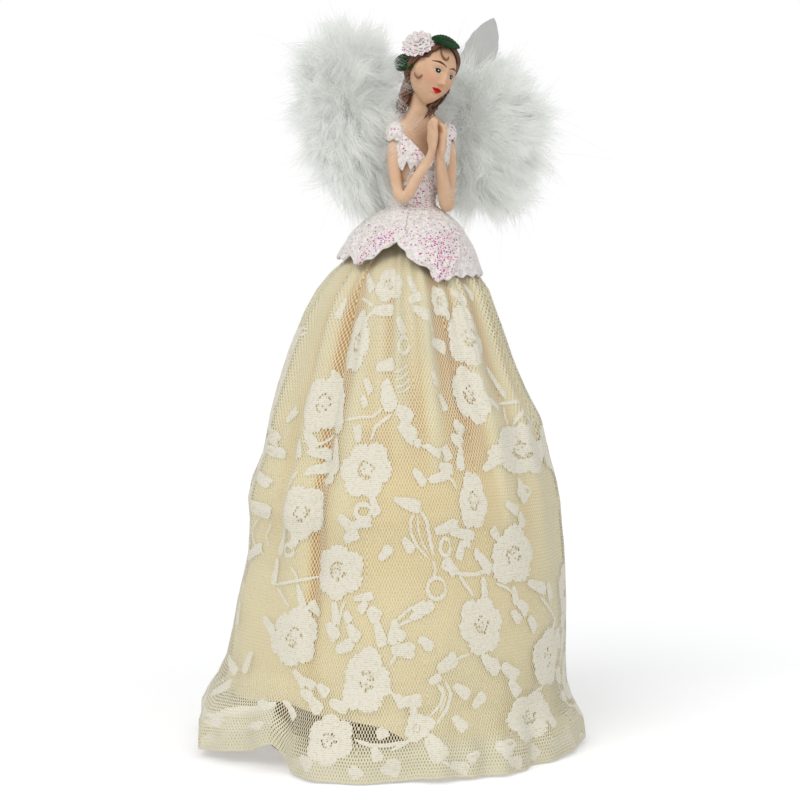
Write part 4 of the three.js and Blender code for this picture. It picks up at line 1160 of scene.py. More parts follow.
# The palm's line: y and z. Then each finger: its place across the palm, length and radius. All in mm.
palm_stops = np.array([(-27.4, 333), (-28.2, 337), (-28.6, 342), (-28.8, 345)])
finger_rows = ((-3.3, 6.2, 1.45), (-1.1, 7.2, 1.55), (1.1, 7.0, 1.55), (3.2, 5.8, 1.45))
cast_grain = 0.34 * mm
for side, name in ((-1, "right"), (1, "left")):
    rods = Rods()
    line = smooth_line(arm_rows + (left_more if side > 0 else 0), 48)
    path = np.stack((line[:, 1] + side * line[:, 0], line[:, 2], line[:, 3]), -1) * mm
    rods.rod(path, line[:, 4] * mm, sides=20)
    palm_x = 6.2 + side * 2.65
    lower = 3.0 if side > 0 else 0
    palm = np.array([(palm_x, y, z - lower) for y, z in palm_stops])
    rods.rod(palm * mm, np.array((2.7, 4.0, 4.7, 4.4)) * mm, sides=20, aside=(0, 1, 0), flat=0.55)
    for aside, long, radius in finger_rows:
        low = np.array((palm_x, -28.7 + aside, 343.6 - lower))
        bend = -side * 0.75
        stops = [low, low + (side * 0.35, -0.15, long * 0.45), low + (bend * 0.1, 0.15, long * 0.85),
                 low + (bend * 0.8, 0.5, long)]
        radii = radius * np.interp(np.linspace(0, 1, 14), (0, 0.45, 1), (1, 1.04, 0.8))
        rods.rod(smooth_line(stops, 14) * mm, radii * mm, sides=12)
    thumb = np.array([
        (palm_x, -25.9, 336.5 - lower), (palm_x + side * 0.5, -24.4, 340 - lower),
        (palm_x + side * 0.2, -24.7, 344.6 - lower)])
    thumb_radii = np.array((1.3, 1.25, 1.2, 1.2, 1.15, 1.1, 1.05, 1, 0.95, 0.85))
    rods.rod(smooth_line(thumb, len(thumb_radii)) * mm, thumb_radii * mm)
    arm = rods.piece(f"{name}_arm_casting")
    with_modifier(arm, "REMESH", mode="VOXEL", voxel_size=cast_grain)
    with_modifier(arm, "SMOOTH", factor=0.5, iterations=6)
    finish_piece(arm, skin_finish, "root", f"{name}_arm")

# Bodice: fabric soaked in pearl lacquer and glitter, ruched round the waist, with a V-necked top
# whose lower edge is cut in points under the bust. Its flakes are set in the lacquer.


def flake_colours(tree, pick, flakes):
    """The colours of flakes by a random value. flakes are (share up to, colour) pairs."""
    kind = node(tree, "ValToRGB", {"Fac": pick})
    kind.color_ramp.interpolation = "CONSTANT"
    ramp = kind.color_ramp.elements
    ramp[0].position, ramp[0].color = 0, flakes[0][1]
    ramp[1].position, ramp[1].color = flakes[0][0], flakes[1][1]
    for (share, _), (_, colour) in zip(flakes[1:], flakes[2:]):
        ramp.new(share).color = colour
    return kind.outputs[0]


def glitter_shader(tree):
    """Pearl lacquer with flat flakes set in it. The tint is the share of flakes that are bright pink."""
    tint = node(tree, "Attribute", attribute_name="tint")
    place = object_place(tree)
    cells = node(tree, "TexVoronoi", {"Vector": place, "Scale": 1 / (1.2 * mm), "Randomness": 1.0})
    parts = node(tree, "SeparateColor", {"Color": cells.outputs["Color"]})
    pale = flake_colours(tree, parts.outputs["Red"], (
        (0.08, dye(222, 160, 184)), (0.5, dye(240, 234, 234)), (0.78, dye(226, 216, 214)),
        (0.93, dye(238, 234, 206)), (1.0, dye(196, 238, 208))))
    pink = flake_colours(tree, parts.outputs["Red"], (
        (0.6, dye(204, 44, 146)), (0.8, dye(204, 84, 124)), (0.93, dye(150, 44, 180)),
        (1.0, dye(244, 236, 240))))
    bright = calc(tree, "LESS_THAN", parts.outputs["Blue"], tint.outputs["Fac"])
    size = calc(tree, "MULTIPLY_ADD", parts.outputs["Green"], 0.2, 0.28)
    inside = calc(tree, "LESS_THAN", cells.outputs["Distance"], size)
    clouds = uneven(tree, place, 1 / (1.6 * mm), 5, 0.65)
    ground = tones(tree, clouds, (0.3, dye(206, 194, 188)), (0.62, dye(243, 238, 234)))
    tilt = vector_calc(tree, "SUBTRACT", cells.outputs["Color"], (0.5, 0.5, 0.5))
    lean = node(tree, "VectorMath", {0: tilt, "Scale": 0.8}, operation="SCALE")
    shaded = node(tree, "NewGeometry")
    tipped = vector_calc(tree, "ADD", shaded.outputs["Normal"], lean.outputs[0])
    high = calc(tree, "MULTIPLY_ADD", clouds, 1.6, inside)
    return node(tree, "BsdfPrincipled", {
        "Base Color": paint_over(tree, ground, paint_over(tree, pale, pink, bright), inside),
        "Roughness": calc(tree, "MULTIPLY_ADD", inside, -0.3, 0.55), "Specular IOR Level": 0.6,
        "Normal": raised(tree, high, 0.4, 0.15 * mm, Normal=vector_calc(tree, "NORMALIZE", tipped))})


glitter = new_material("pearl_glitter", glitter_shader)


def glittered(name, points, wall, pink, replaced, closed=True):
    """A piece of the lacquered fabric. pink is the share of bright pink flakes at each of its points."""
    piece = cloth_piece(name, points, glitter, "root", closed=closed, wall=wall)
    tint_piece(piece, pink)
    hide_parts(replaced)


waist_rise = 22.7 * mm
bust_rise = 44 * mm
bodice_top_rise = 64 * mm
neck_point_rise = 47.5 * mm
neck_slope = 1.25


def around_torso(angle, rise, stand_off):
    """A point round the torso, by the angle from straight ahead towards the figure's left."""
    lean, wide, deep = torso_shares(rise)
    x = shoulder_place[0] * lean + (wide * torso_half[0] + stand_off) * np.sin(angle)
    y = shoulder_place[1] * lean - (deep * torso_half[1] + stand_off) * np.cos(angle)
    return np.stack(np.broadcast_arrays(x, y, figure_foot + rise), -1)


def round_grid(columns, rows, start=0, end=1):
    """Angles all the way round, and a value that runs from start to end by rows."""
    return np.meshgrid(np.arange(columns) * 2 * math.pi / columns, np.linspace(start, end, rows))


angles, share = round_grid(200, 56)
# The band is cut lower at the figure's right, where the torso shows under the bust.
aside = np.degrees((angles + math.pi) % (2 * math.pi) - math.pi)
low_side = smooth_between(-28, -48, aside) * smooth_between(-150, -110, aside)
foot = waist_rise - 1.6 * mm
rise = foot + (bust_rise + (3 - 11 * low_side) * mm - foot) * share
folds = np.sin(rise / mm * 2.1 + 1.6 * np.sin(2 * angles) + 0.8 * np.sin(5 * angles + 1))
folds += 0.5 * np.sin(rise / mm * 4.3 + 2.2 * np.sin(3 * angles + 2))
stand = 0.85 + 0.28 * folds + 2.4 * smooth_between(3 * mm, 0, rise - foot)
pink = 0.06 + 0.6 * np.exp(-((aside + 2) / 26) ** 2) * smooth_between(42 * mm, 30 * mm, rise)
glittered("waist_band", around_torso(angles, rise, stand * mm), 0.6 * mm, pink, "bodice")

angles, share = round_grid(200, 40)
points_down = np.abs(((angles * 21 / (2 * math.pi) + 0.5) % 1) - 0.5) * 2
foot = bust_rise + (-1.8 + 4.4 * points_down ** 1.3 + 1.5 * np.sin(8 * angles + 1)) * mm
shoulder_reach = torso_half[0] * 0.95 * np.abs(np.sin(angles))
front = np.cos(angles) > 0
cut = neck_point_rise + neck_slope * shoulder_reach
back_top = bodice_top_rise - 3 * mm * np.maximum(0, -np.cos(angles))
top = np.where(front, np.minimum(cut, bodice_top_rise), back_top)
rise = foot + (top - foot) * share
flare = 1.35 + 1.3 * (1 - share) ** 2 + 0.2 * np.sin(9 * angles + 5 * share) + 0.15 * np.sin(31 * angles)
pink = 0.38 * smooth_between(0.2, 0.8, share)
glittered("bust_top", around_torso(angles, rise, flare * mm), 0.7 * mm, pink, "bodice")

# Cap sleeves: two small glittered caps of the bodice's fabric, cut in scallops round their edges.
# They are pressed to shape over the shoulders and glued on.
sleeve_rise = 61.5 * mm
cap_out, cap_in, cap_deep, cap_high = 6.2 * mm, 4.4 * mm, 6.9 * mm, 8 * mm
for side, name in ((-1, "right"), (1, "left")):
    shoulder = torso_level(sleeve_rise)[0] + Vector((side * 15.4 * mm, 0, 0.5 * mm))
    angles, share = round_grid(90, 26)
    lobes = np.abs(np.cos(3.5 * angles)) ** 0.7
    reach = math.radians(102) + math.radians(13) * lobes
    polar = reach * (1 - share) + 0.02 * share
    wide = np.where(side * np.cos(angles) > 0, cap_out, cap_in)
    caps = np.stack((
        shoulder.x + wide * np.sin(polar) * np.cos(angles),
        shoulder.y + cap_deep * np.sin(polar) * np.sin(angles),
        shoulder.z + cap_high * np.cos(polar) + 0.25 * mm * np.sin(7 * angles) * np.sin(polar),
    ), -1)
    glittered(f"{name}_cap_sleeve", caps, 0.7 * mm, 0.12, f"{name}_sleeve")

# Peplum: five petals of the same stiffened fabric, rooted under the bodice and spread over the gown.
# Each is grooved along its length and ragged at its edges; two have bright pink flakes in bands.
# Each row: shares of the length, of the reach and of the drop, and the widths to its right and left.
petal_rows = np.array([
    (0.00, 0.00, 0.00, 1.07, 1.07),
    (0.15, 0.16, 0.06, 1.07, 1.07),
    (0.35, 0.38, 0.20, 1.07, 1.07),
    (0.50, 0.53, 0.33, 1.05, 1.07),
    (0.60, 0.63, 0.44, 1.02, 1.02),
    (0.72, 0.74, 0.57, 0.88, 0.76),
    (0.82, 0.84, 0.71, 0.60, 0.50),
    (0.91, 0.92, 0.85, 0.24, 0.32),
    (1.00, 1.00, 1.00, 0.09, 0.13),
])
# Each petal: its length as a share of the longest, how far its tip leans aside, in degrees, and the
# least width to its right and to its left, for the sides that are tucked under a neighbour.
petal_cuts = {
    "front": (1.0, -3, 0, 0), "left": (0.97, 0, 1.9, 0), "back_left": (0.95, 0, 0, 0),
    "back_right": (0.82, 4, 0, 1.45), "right": (0.86, 2, 0, 0),
}
# The bright pink bands: their strength, and their middle and width as shares of the petal's half.
pink_bands = {"front": (1.15, 0.1, 0.55), "right": (1.0, 0.35, 0.4)}
petal_root_rise = 22.4 * mm
petal_drop = 40 * mm
petal_tip_reach = 45 * mm
petal_first_turn = math.radians(5)
for k, (name, (cut_at, aslant, least_right, least_left)) in enumerate(petal_cuts.items()):
    turn = petal_first_turn + k * math.radians(72)
    across, length = np.meshgrid(np.linspace(-1, 1, 57), np.linspace(1, 0, 80))
    ragged = 0.07 * np.abs(np.sin(math.pi * (5.5 * length + 0.12 * k))) + 0.025 * np.sin(41 * length + 3 * k)
    wide_right, wide_left = table_at(petal_rows, length, 3, 4)
    wide = np.where(across < 0, np.maximum(wide_right, least_right), np.maximum(wide_left, least_left))
    wide = wide + ragged * smooth_between(0.3, 0.55, length) * smooth_between(1.0, 0.9, length)
    along = length * (1 - (1 - cut_at) * smooth_between(0.3, 1.0, length))
    reach, drop = table_at(petal_rows, along, 1, 2)
    centre, root_wide, root_deep = torso_level(petal_root_rise)
    angle = turn + across * wide * math.pi / 5 + math.radians(aslant) * smooth_between(0.45, 1.0, length)
    out = np.stack((np.sin(angle), -np.cos(angle)), -1)
    root = np.array(centre[:2]) + out * (root_wide + 0.5 * mm, root_deep + 0.5 * mm)
    place = root * (1 - reach[..., None]) + out * petal_tip_reach * reach[..., None]
    grooves = 0.32 * np.cos(across * 4.5 * math.pi + 2 * length) + 0.14 * np.sin(across * 19 + 23 * length)
    stand = 1.1 * (1 - across ** 2) * np.sin(math.pi * length) + grooves * smooth_between(0.08, 0.5, length)
    tucked = 1.2 if name in ("left", "back_right") else 0
    stand += 0.7 * across * smooth_between(0.75, 0.5, length) + 0.5 - tucked * length ** 2
    place += out * (stand * mm)[..., None]
    level = figure_foot + petal_root_rise - petal_drop * drop + 0.9 * mm * np.sin(29 * angle) * length ** 4
    points = np.concatenate((place, level[..., None]), -1)
    strong, band_at, band_wide = pink_bands.get(name, (0.06, 0.35, 0.4))
    band = np.exp(-((across - band_at) / band_wide) ** 2)
    pink = strong * band * smooth_between(0.35, 0.62, length) + 0.03
    glittered(f"petal_{name}", points, 0.8 * mm, pink, f"peplum_petal_{name}", closed=False)

# Head: a resin casting with a painted face, seated on the neck and bowed to the figure's left.
# Its skin is sprayed on evenly, and lids, brows and lips are touched in with a fine brush.
head_place = np.array((8, -18, 376.3)) * mm
head_turn = (Matrix.Rotation(math.radians(7), 3, "Z") @ Matrix.Rotation(math.radians(22), 3, "Y")
             @ Matrix.Rotation(math.radians(4), 3, "X"))
head_half = np.array((12, 14, 17.5)) * mm
face_turn = np.array(Matrix.Rotation(math.radians(3), 3, "Z"))


def from_head(points):
    """Turns points from the head's own frame, in which the face looks along -Y, to the object's."""
    return np.asarray(points) @ np.array(head_turn).T + head_place


def from_face(points):
    """The same for the cast face and hair, which look a little further to the figure's left."""
    return from_head(np.asarray(points) @ face_turn.T)


def on_head(ways, lift=0.0):
    """The plain head's surface in each direction from its centre, raised by lift."""
    ways = unit(ways)
    low = np.maximum(0, -ways[..., 2:3])
    narrow = 1 - 0.38 * low ** 2
    sizes = np.concatenate((
        head_half[0] * narrow + lift, head_half[1] * narrow + lift,
        np.broadcast_to(head_half[2] + lift, narrow.shape)), -1)
    points = ways * sizes
    points[..., 1] -= (0.28 * low ** 2)[..., 0] * head_half[1]
    return points


# Each row: x, z, half width, half height and rise of a swelling or hollow of the face, in mm.
face_forms = (
    (4.7, 0.8, 2.7, 1.9, -1.2), (4.7, 0.3, 1.9, 1.2, 0.95), (4.8, 1.7, 2.2, 0.45, 0.4),
    (4.7, 4.3, 3.4, 1.4, 0.6), (6.4, -4.8, 3.1, 3.0, 0.8), (1.6, -5.7, 0.85, 0.8, 1.15),
    (0, 2.2, 1.2, 2.2, 0.6), (0, -0.8, 1.15, 2.0, 1.2), (0, -3.2, 1.2, 1.7, 1.7),
    (0, -5.4, 1.35, 1.15, 3.1), (0, -7.4, 0.6, 0.8, -0.3), (0, -8.9, 2.3, 0.6, 0.95),
    (0, -10.4, 1.9, 0.75, 1.15), (0, -9.6, 2.9, 0.28, -0.6), (0, -12.0, 2.2, 0.7, -0.5),
    (0, -14.3, 2.9, 2.0, 1.1),
)
rows, columns = 190, 220
spread = np.arange(columns) * 2 * math.pi / columns
azimuth = -math.pi / 2 + spread - 0.5 * np.sin(spread)
polar = np.linspace(math.pi - 0.01, 0.01, rows)
azimuth, polar = np.meshgrid(azimuth, polar)
ways = np.stack((np.sin(polar) * np.cos(azimuth), np.sin(polar) * np.sin(azimuth), np.cos(polar)), -1)
plain = on_head(ways)
relief = np.zeros(plain.shape[:2])
for x, z, wide, high, rise in face_forms:
    for mirrored in ((1, -1) if x else (1,)):
        aside = (plain[..., 0] - mirrored * x * mm) / (wide * mm)
        relief += rise * mm * np.exp(-aside ** 2 - ((plain[..., 2] - z * mm) / (high * mm)) ** 2)
facing = smooth_between(0.15, 0.45, -ways[..., 1])
outward = np.stack((ways[..., 0] * 0.35, ways[..., 1], ways[..., 2] * 0.35), -1)
sculpted = plain + outward * (relief * facing)[..., None]
ear_out = 1.4 * mm
ears = np.exp(-((plain[..., 1] / mm + 3.1) / 2.1) ** 2 - ((plain[..., 2] / mm + 1.4) / 3.7) ** 2)
sculpted[..., 0] += np.sign(plain[..., 0]) * ear_out * ears
head_points = from_face(sculpted.reshape(-1, 3)).reshape(sculpted.shape)


def face_shader(tree):
    lay = lay_place(tree)
    parts = node(tree, "SeparateXYZ", {"Vector": lay})
    x, z = parts.outputs["X"], parts.outputs["Y"]
    aside = calc(tree, "ABSOLUTE", x)

    def spot(across, place, size, soft=0.12, lean=0.0):
        """An oval touch of the brush: 1 inside, fading over a soft share of its size."""
        from_x = calc(tree, "SUBTRACT", across, place[0])
        from_z = calc(tree, "SUBTRACT", z, place[1])
        leaned = calc(tree, "MULTIPLY_ADD", from_x, -lean, from_z)
        u = calc(tree, "POWER", calc(tree, "DIVIDE", calc(tree, "ABSOLUTE", from_x), size[0]), 2)
        v = calc(tree, "POWER", calc(tree, "DIVIDE", calc(tree, "ABSOLUTE", leaned), size[1]), 2)
        return share_of(tree, calc(tree, "SQRT", calc(tree, "ADD", u, v)), 1 + soft, 1 - soft)

    def line(across, middle, half, height, bow, thick, lean=0.0):
        """A painted line, bowed up by bow at its middle and thinner at its ends."""
        from_x = calc(tree, "DIVIDE", calc(tree, "SUBTRACT", across, middle), half)
        drop = calc(tree, "MULTIPLY", calc(tree, "POWER", calc(tree, "ABSOLUTE", from_x), 2), bow)
        tilt = calc(tree, "MULTIPLY", from_x, lean)
        level = calc(tree, "ADD", calc(tree, "SUBTRACT", z, height), calc(tree, "SUBTRACT", drop, tilt))
        slim = calc(tree, "MULTIPLY_ADD", calc(tree, "ABSOLUTE", from_x), -0.7 * thick, thick)
        near = calc(tree, "DIVIDE", calc(tree, "ABSOLUTE", level), calc(tree, "MAXIMUM", slim, 0.0001))
        ended = calc(tree, "LESS_THAN", calc(tree, "ABSOLUTE", from_x), 1.0)
        return calc(tree, "MULTIPLY", share_of(tree, near, 1.15, 0.85), ended)

    front = calc(tree, "GREATER_THAN", parts.outputs["Z"], -1)
    clouds = uneven(tree, lay, 160, 4)
    skin = tones(tree, clouds, (0.3, dye(206, 166, 134)), (0.7, dye(218, 180, 146)))
    blush = calc(tree, "MULTIPLY", spot(aside, (6.4 * mm, -4.8 * mm), (3.6 * mm, 3 * mm), 0.8), 0.35)
    paint = paint_over(tree, skin, dye(220, 140, 120), blush)
    shade = calc(tree, "MULTIPLY", spot(aside, (4.7 * mm, 1.5 * mm), (2.7 * mm, 1.5 * mm), 0.5), 0.4)
    paint = paint_over(tree, paint, dye(160, 112, 92), shade)
    lid = line(aside, 4.8 * mm, 2.3 * mm, 1.35 * mm, 0.9 * mm, 0.3 * mm)
    under = line(aside, 4.7 * mm, 1.9 * mm, -0.95 * mm, -0.6 * mm, 0.12 * mm)
    brow = line(aside, 4.9 * mm, 3.8 * mm, 5.0 * mm, 1.0 * mm, 0.72 * mm, 0.3 * mm)
    white = spot(aside, (4.7 * mm, 0.3 * mm), (2.1 * mm, 1.1 * mm))
    paint = paint_over(tree, paint, dye(214, 214, 194), white)
    for middle in (-4.75, 4.6):
        iris = spot(x, (middle * mm, 0.35 * mm), (1.45 * mm, 1.25 * mm))
        paint = paint_over(tree, paint, dye(6, 10, 8), iris)
        glint = spot(x, ((middle + 0.1) * mm, 0.45 * mm), (0.28 * mm, 0.28 * mm), 0.3)
        paint = paint_over(tree, paint, dye(236, 240, 240), glint)
    upper = line(x, -0.3 * mm, 3.1 * mm, -8.95 * mm, 0.2 * mm, 0.62 * mm)
    lower = line(x, -0.2 * mm, 2.7 * mm, -10.35 * mm, -0.9 * mm, 1.0 * mm)
    parted = line(x, -0.3 * mm, 3.2 * mm, -9.55 * mm, -0.45 * mm, 0.2 * mm)
    for colour, mask in (
            (dye(46, 32, 28), lid), (dye(150, 104, 84), under), (dye(92, 48, 24), brow),
            (dye(186, 26, 24), upper), (dye(206, 32, 26), lower), (dye(120, 16, 16), parted)):
        paint = paint_over(tree, paint, colour, mask)
    return node(tree, "BsdfPrincipled", {
        "Base Color": paint_over(tree, skin, paint, front), "Roughness": 0.5,
        "Specular IOR Level": 0.2, "Subsurface Weight": 0.05, "Subsurface Scale": 0.002,
        "Normal": raised(tree, clouds, 0.3, 0.03 * mm)})


def lay_by_points(piece, places):
    """Gives a piece its lay map, from the place of each of its points on the map."""
    corners = np.zeros(len(piece.data.loops), int)
    piece.data.loops.foreach_get("vertex_index", corners)
    piece.data.uv_layers.new(name="lay").data.foreach_set("uv", places[corners].ravel())


# The head's back lies one metre aside on its map, where no brush reaches.
painted_face = new_material("painted_face", face_shader)
head = cloth_piece("head_casting", head_points, painted_face, "root")
flat_lay = sculpted.reshape(-1, 3)[:, [0, 2]]
flat_lay[sculpted.reshape(-1, 3)[:, 1] > -1 * mm] += 1
lay_by_points(head, flat_lay)
select_only(head)
bpy.ops.object.mode_set(mode="EDIT")
bpy.ops.mesh.select_all(action="SELECT")
bpy.ops.mesh.fill_holes(sides=0)
bpy.ops.object.mode_set(mode="OBJECT")
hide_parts("head")

# Hair: locks cast in resin, painted brown, parted over the forehead and swept back above the ears.
# Fine curls lie on the forehead and at the ears, and loose falls hang behind the neck.
hair_centre = np.array((0, 1.4, 1.4)) * mm
# Each row: a turn about the face's axis from the top, and the angle back where hair starts, in degrees.
hair_start = ((0, 62), (27, 64), (48, 59), (70, 60), (80, 94), (105, 118), (140, 130), (180, 132))


def swept_way(turn, back):
    """A direction by its turn about the axis that points ahead, 0 at the top, and its angle from it."""
    return np.stack((np.sin(turn) * np.sin(back), -np.cos(back), np.cos(turn) * np.sin(back)), -1)


turns, backs = round_grid(140, 60, math.pi - 0.01, 0.7)
around = np.abs((np.degrees(turns) + 180) % 360 - 180)
starts = np.radians(np.interp(around, *np.transpose(hair_start)))
ways = swept_way(turns, backs)
lift = 1.9 * mm * smooth_between(-0.10, 0.08, backs - starts) - 0.7 * mm
cap = on_head(ways, 0) + ways * lift[..., None] + np.array((0, 0.5, 0.3)) * mm


def weighed(tree, one, share, other, other_share):
    """Two values added, each by its share."""
    return calc(tree, "MULTIPLY_ADD", one, share, calc(tree, "MULTIPLY", other, other_share))


def hair_shader(tree):
    tint = node(tree, "Attribute", attribute_name="tint")
    place = object_place(tree)
    mixed = weighed(tree, tint.outputs["Fac"], 0.45, uneven(tree, place, 150, 3), 0.75)
    return node(tree, "BsdfPrincipled", {
        "Base Color": tones(tree, mixed, (0.2, dye(62, 34, 20)), (0.85, dye(132, 84, 52))),
        "Roughness": 0.5, "Normal": raised(tree, uneven(tree, place, 900, 4, 0.7), 0.6, 0.1 * mm)})


hair_finish = new_material("painted_hair", hair_shader)
hair = cloth_piece(
    "hair_cap", from_face(cap.reshape(-1, 3)).reshape(cap.shape), hair_finish, "root")
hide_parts("hair")

locks = Rods()
for side in (-1, 1):
    for layer, (lift, thick) in enumerate(((1.5, 1.3), (2.3, 0.8))):
        for start in np.radians(np.linspace(61, 152, 19 if layer == 0 else 17)):
            start += chance.uniform(-0.03, 0.03)
            share = np.linspace(0, 1, 40)
            back = start + (max(2.0, start + 0.15) - start) * smooth_between(0.55, 1, share)
            back += 0.035 * np.sin(share * chance.uniform(9, 13) + chance.uniform(0, 6))
            turn = 0.05 + 1.25 * share ** 0.85 + 0.75 * smooth_between(0.62, 1, share)
            turn *= 1 - 0.3 * smooth_between(1.9, 2.8, np.full(40, start))
            path = on_head(swept_way(side * turn, back))
            path = path + unit(path) * (lift * mm * np.minimum(1, 5 * share + 0.35)[:, None])
            radii = thick * mm * np.minimum(1, np.minimum(6 * share + 0.5, 4 * (1 - share) + 0.3))
            locks.rod(path, radii, sides=8, flat=0.75, grooves=4, groove=0.2, tint=chance.uniform(0, 1))

# The curls' places in the face's frame, in mm: one on the forehead and one before each ear.
forehead_curl = (
    (-5.6, -7.9, 13.2), (-5.6, -9.4, 11.4), (-5.2, -10.9, 9.4), (-4.1, -12.2, 8.0), (-2.7, -12.7, 7.7),
    (-1.5, -12.5, 8.6), (-1.2, -12.0, 10.0))
ear_curl = np.array((
    (12.6, -2.9, -4.8), (12.0, -3.6, -6.1), (11.1, -5.0, -6.8), (10.4, -6.3, -6.2), (10.2, -7.0, -4.8)))
for stops, radius in ((forehead_curl, 0.62), (ear_curl * (-1, 1, 1), 0.55), (ear_curl, 0.55)):
    line = smooth_line(stops, 40) * mm
    share = np.linspace(0, 1, 40)
    locks.rod(line, radius * mm * (0.5 + 0.6 * np.sin(math.pi * share ** 1.2)), sides=8, tint=0.9)

# Falls of hair behind the neck: to each shoulder, down the nape, and behind the left jaw.
falls = (((-7.9, 5.5, -3), (-7.6, 7.5, -10), (-6.0, 9, -18), (-4.4, 9.5, -25)),
         ((-5.4, 9, -3), (-5.0, 10, -12), (-3.6, 10.5, -20), (-2, 11, -27)),
         ((4, 11, -3), (4.5, 12, -12), (5.5, 11.5, -20), (7, 10.5, -26)),
         ((9.8, 2.5, -4), (9.4, 3.5, -12), (8.4, 2.4, -17), (9.4, 1.2, -22)))
for stops in falls:
    for i in range(13):
        shift = chance.normal(0, 1, 3) * (1.6, 1.5, 1.2)
        bend = chance.normal(0, 1, 3) * (1.0, 0.8, 1.6)
        moved = [np.array(stop) + shift * (1 - 0.2 * k) + bend * k * 0.4 for k, stop in enumerate(stops)]
        line = smooth_line(moved, 40) * mm
        share = np.linspace(0, 1, 40)
        line[:, 0] += 1.1 * mm * np.sin(share * 15 + i) * share
        line[:, 1] += 0.9 * mm * np.cos(share * 15 + i) * share
        radii = chance.uniform(0.75, 1.2) * mm * np.minimum(1, 2.2 * (1 - share) + 0.12)
        locks.rod(line, radii, sides=8, flat=0.75, grooves=4, groove=0.2, tint=chance.uniform(0, 1))
hair_locks = locks.piece("hair_locks", from_face)
finish_piece(hair_locks, hair_finish, "root", "hair")

# Hair flower: four rounds of stiffened petals, lacquered and glittered, wired over the right temple.
# Its centre is a glass bead, and it sits on the hair with its face tipped to the front.
cap_half = np.array((14.6, 16.6, 18.8)) * mm


def seat_on_hair(aim, facing, lift, spin):
    """The place on the hair along aim from its centre, raised by lift, and the turn to face there."""
    aim = Vector(aim).normalized()
    reach = Vector([c / s for c, s in zip(aim, cap_half)]).length
    place = Vector(hair_centre) + aim * (1 / reach + lift)
    turn = Vector((0, 0, 1)).rotation_difference(Vector(facing)).to_matrix() @ Matrix.Rotation(spin, 3, "Z")
    return np.array(place), np.array(turn)


def seated_sheet(name, points, seat, material, wall, replaced):
    """A sheet modelled lying flat, stood on its seat on the hair and given its thickness."""
    place, turn = seat
    worn = from_head(points.reshape(-1, 3) @ turn.T + place).reshape(points.shape)
    piece = cloth_piece(name, worn, material, "root", closed=False, wall=wall)
    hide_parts(replaced)
    return piece


# Each round of petals: how many, their reach, rise and cup in mm, and the first one's turn.
bloom_rounds = (
    (6, 9.4, 0.3, 1.6, 0.2), (5, 8.0, 0.8, 2.2, 0.7), (5, 5.9, 1.4, 2.6, 0.3), (4, 3.8, 2.1, 2.6, 0.1))
flower_seat = seat_on_hair((-0.93, -0.06, 0.64), (-0.8, -0.44, 0.44), 1.4 * mm, 0)
across, length = np.meshgrid(np.linspace(-1, 1, 21), np.linspace(0.1, 1, 16))
for ring, (petals, reach, rise, cupped, start) in enumerate(bloom_rounds):
    for k in range(petals):
        turn = start + k * 2 * math.pi / petals
        wide = (math.pi / petals * 1.25) * (0.6 + 0.4 * np.sqrt(length))
        angle = turn + across * wide
        notched = 1 - 0.10 * np.abs(across) ** 3 + 0.05 * np.cos(across * 3 * math.pi)
        out = reach * chance.uniform(0.88, 1.06) * length * notched
        ruffle = 0.45 * np.sin(across * 3 * math.pi + k) * length ** 2
        high = rise + cupped * length ** 2 - 0.8 * cupped * length ** 4 + ruffle + 0.12 * (k % 2)
        petal = np.stack((out * np.cos(angle), out * np.sin(angle), high), -1) * mm
        seated = seated_sheet(
            f"bloom_petal_{ring}_{k}", petal, flower_seat, glitter, 0.35 * mm, "head_flower")
        tint_piece(seated, 0.34 * length)

bead_place = from_head(flower_seat[0] + flower_seat[1] @ (np.array((0, 0, 4.4)) * mm))
bpy.ops.object.select_all(action="DESELECT")
bpy.ops.mesh.primitive_ico_sphere_add(subdivisions=4, radius=1.9 * mm, location=bead_place)
bead = bpy.context.object
bead.name = "bloom_bead"
for vertex in bead.data.vertices:
    way = vertex.co.normalized()
    dimples = sum(max(0, way.dot(Vector(d).normalized())) ** 24 for d in (
        (1, 0, 1), (-1, 0, 1), (0, 1, 1), (0, -1, 1), (0, 0, 1), (1, 1, 0), (-1, 1, 0), (1, -1, 0)))
    vertex.co *= 1 + 0.12 * dimples
tint_piece(bead, 0.3)
finish_piece(bead, glitter, "root", "flower_centre")

# Leaves: two moulded leaves painted a glossy deep green, wired beside the flower. One lies over the
# top of the head and one hangs behind the flower.
leaf_long = 17 * mm
leaf_half = 4.8 * mm


def leaf_shader(tree):
    clouds = uneven(tree, lay_place(tree), 300, 4)
    return node(tree, "BsdfPrincipled", {
        "Base Color": tones(tree, clouds, (0.3, dye(0, 28, 5)), (0.75, dye(7, 66, 20))),
        "Roughness": 0.4, "Specular IOR Level": 0.12, "Normal": raised(tree, clouds, 0.4, 0.08 * mm)})


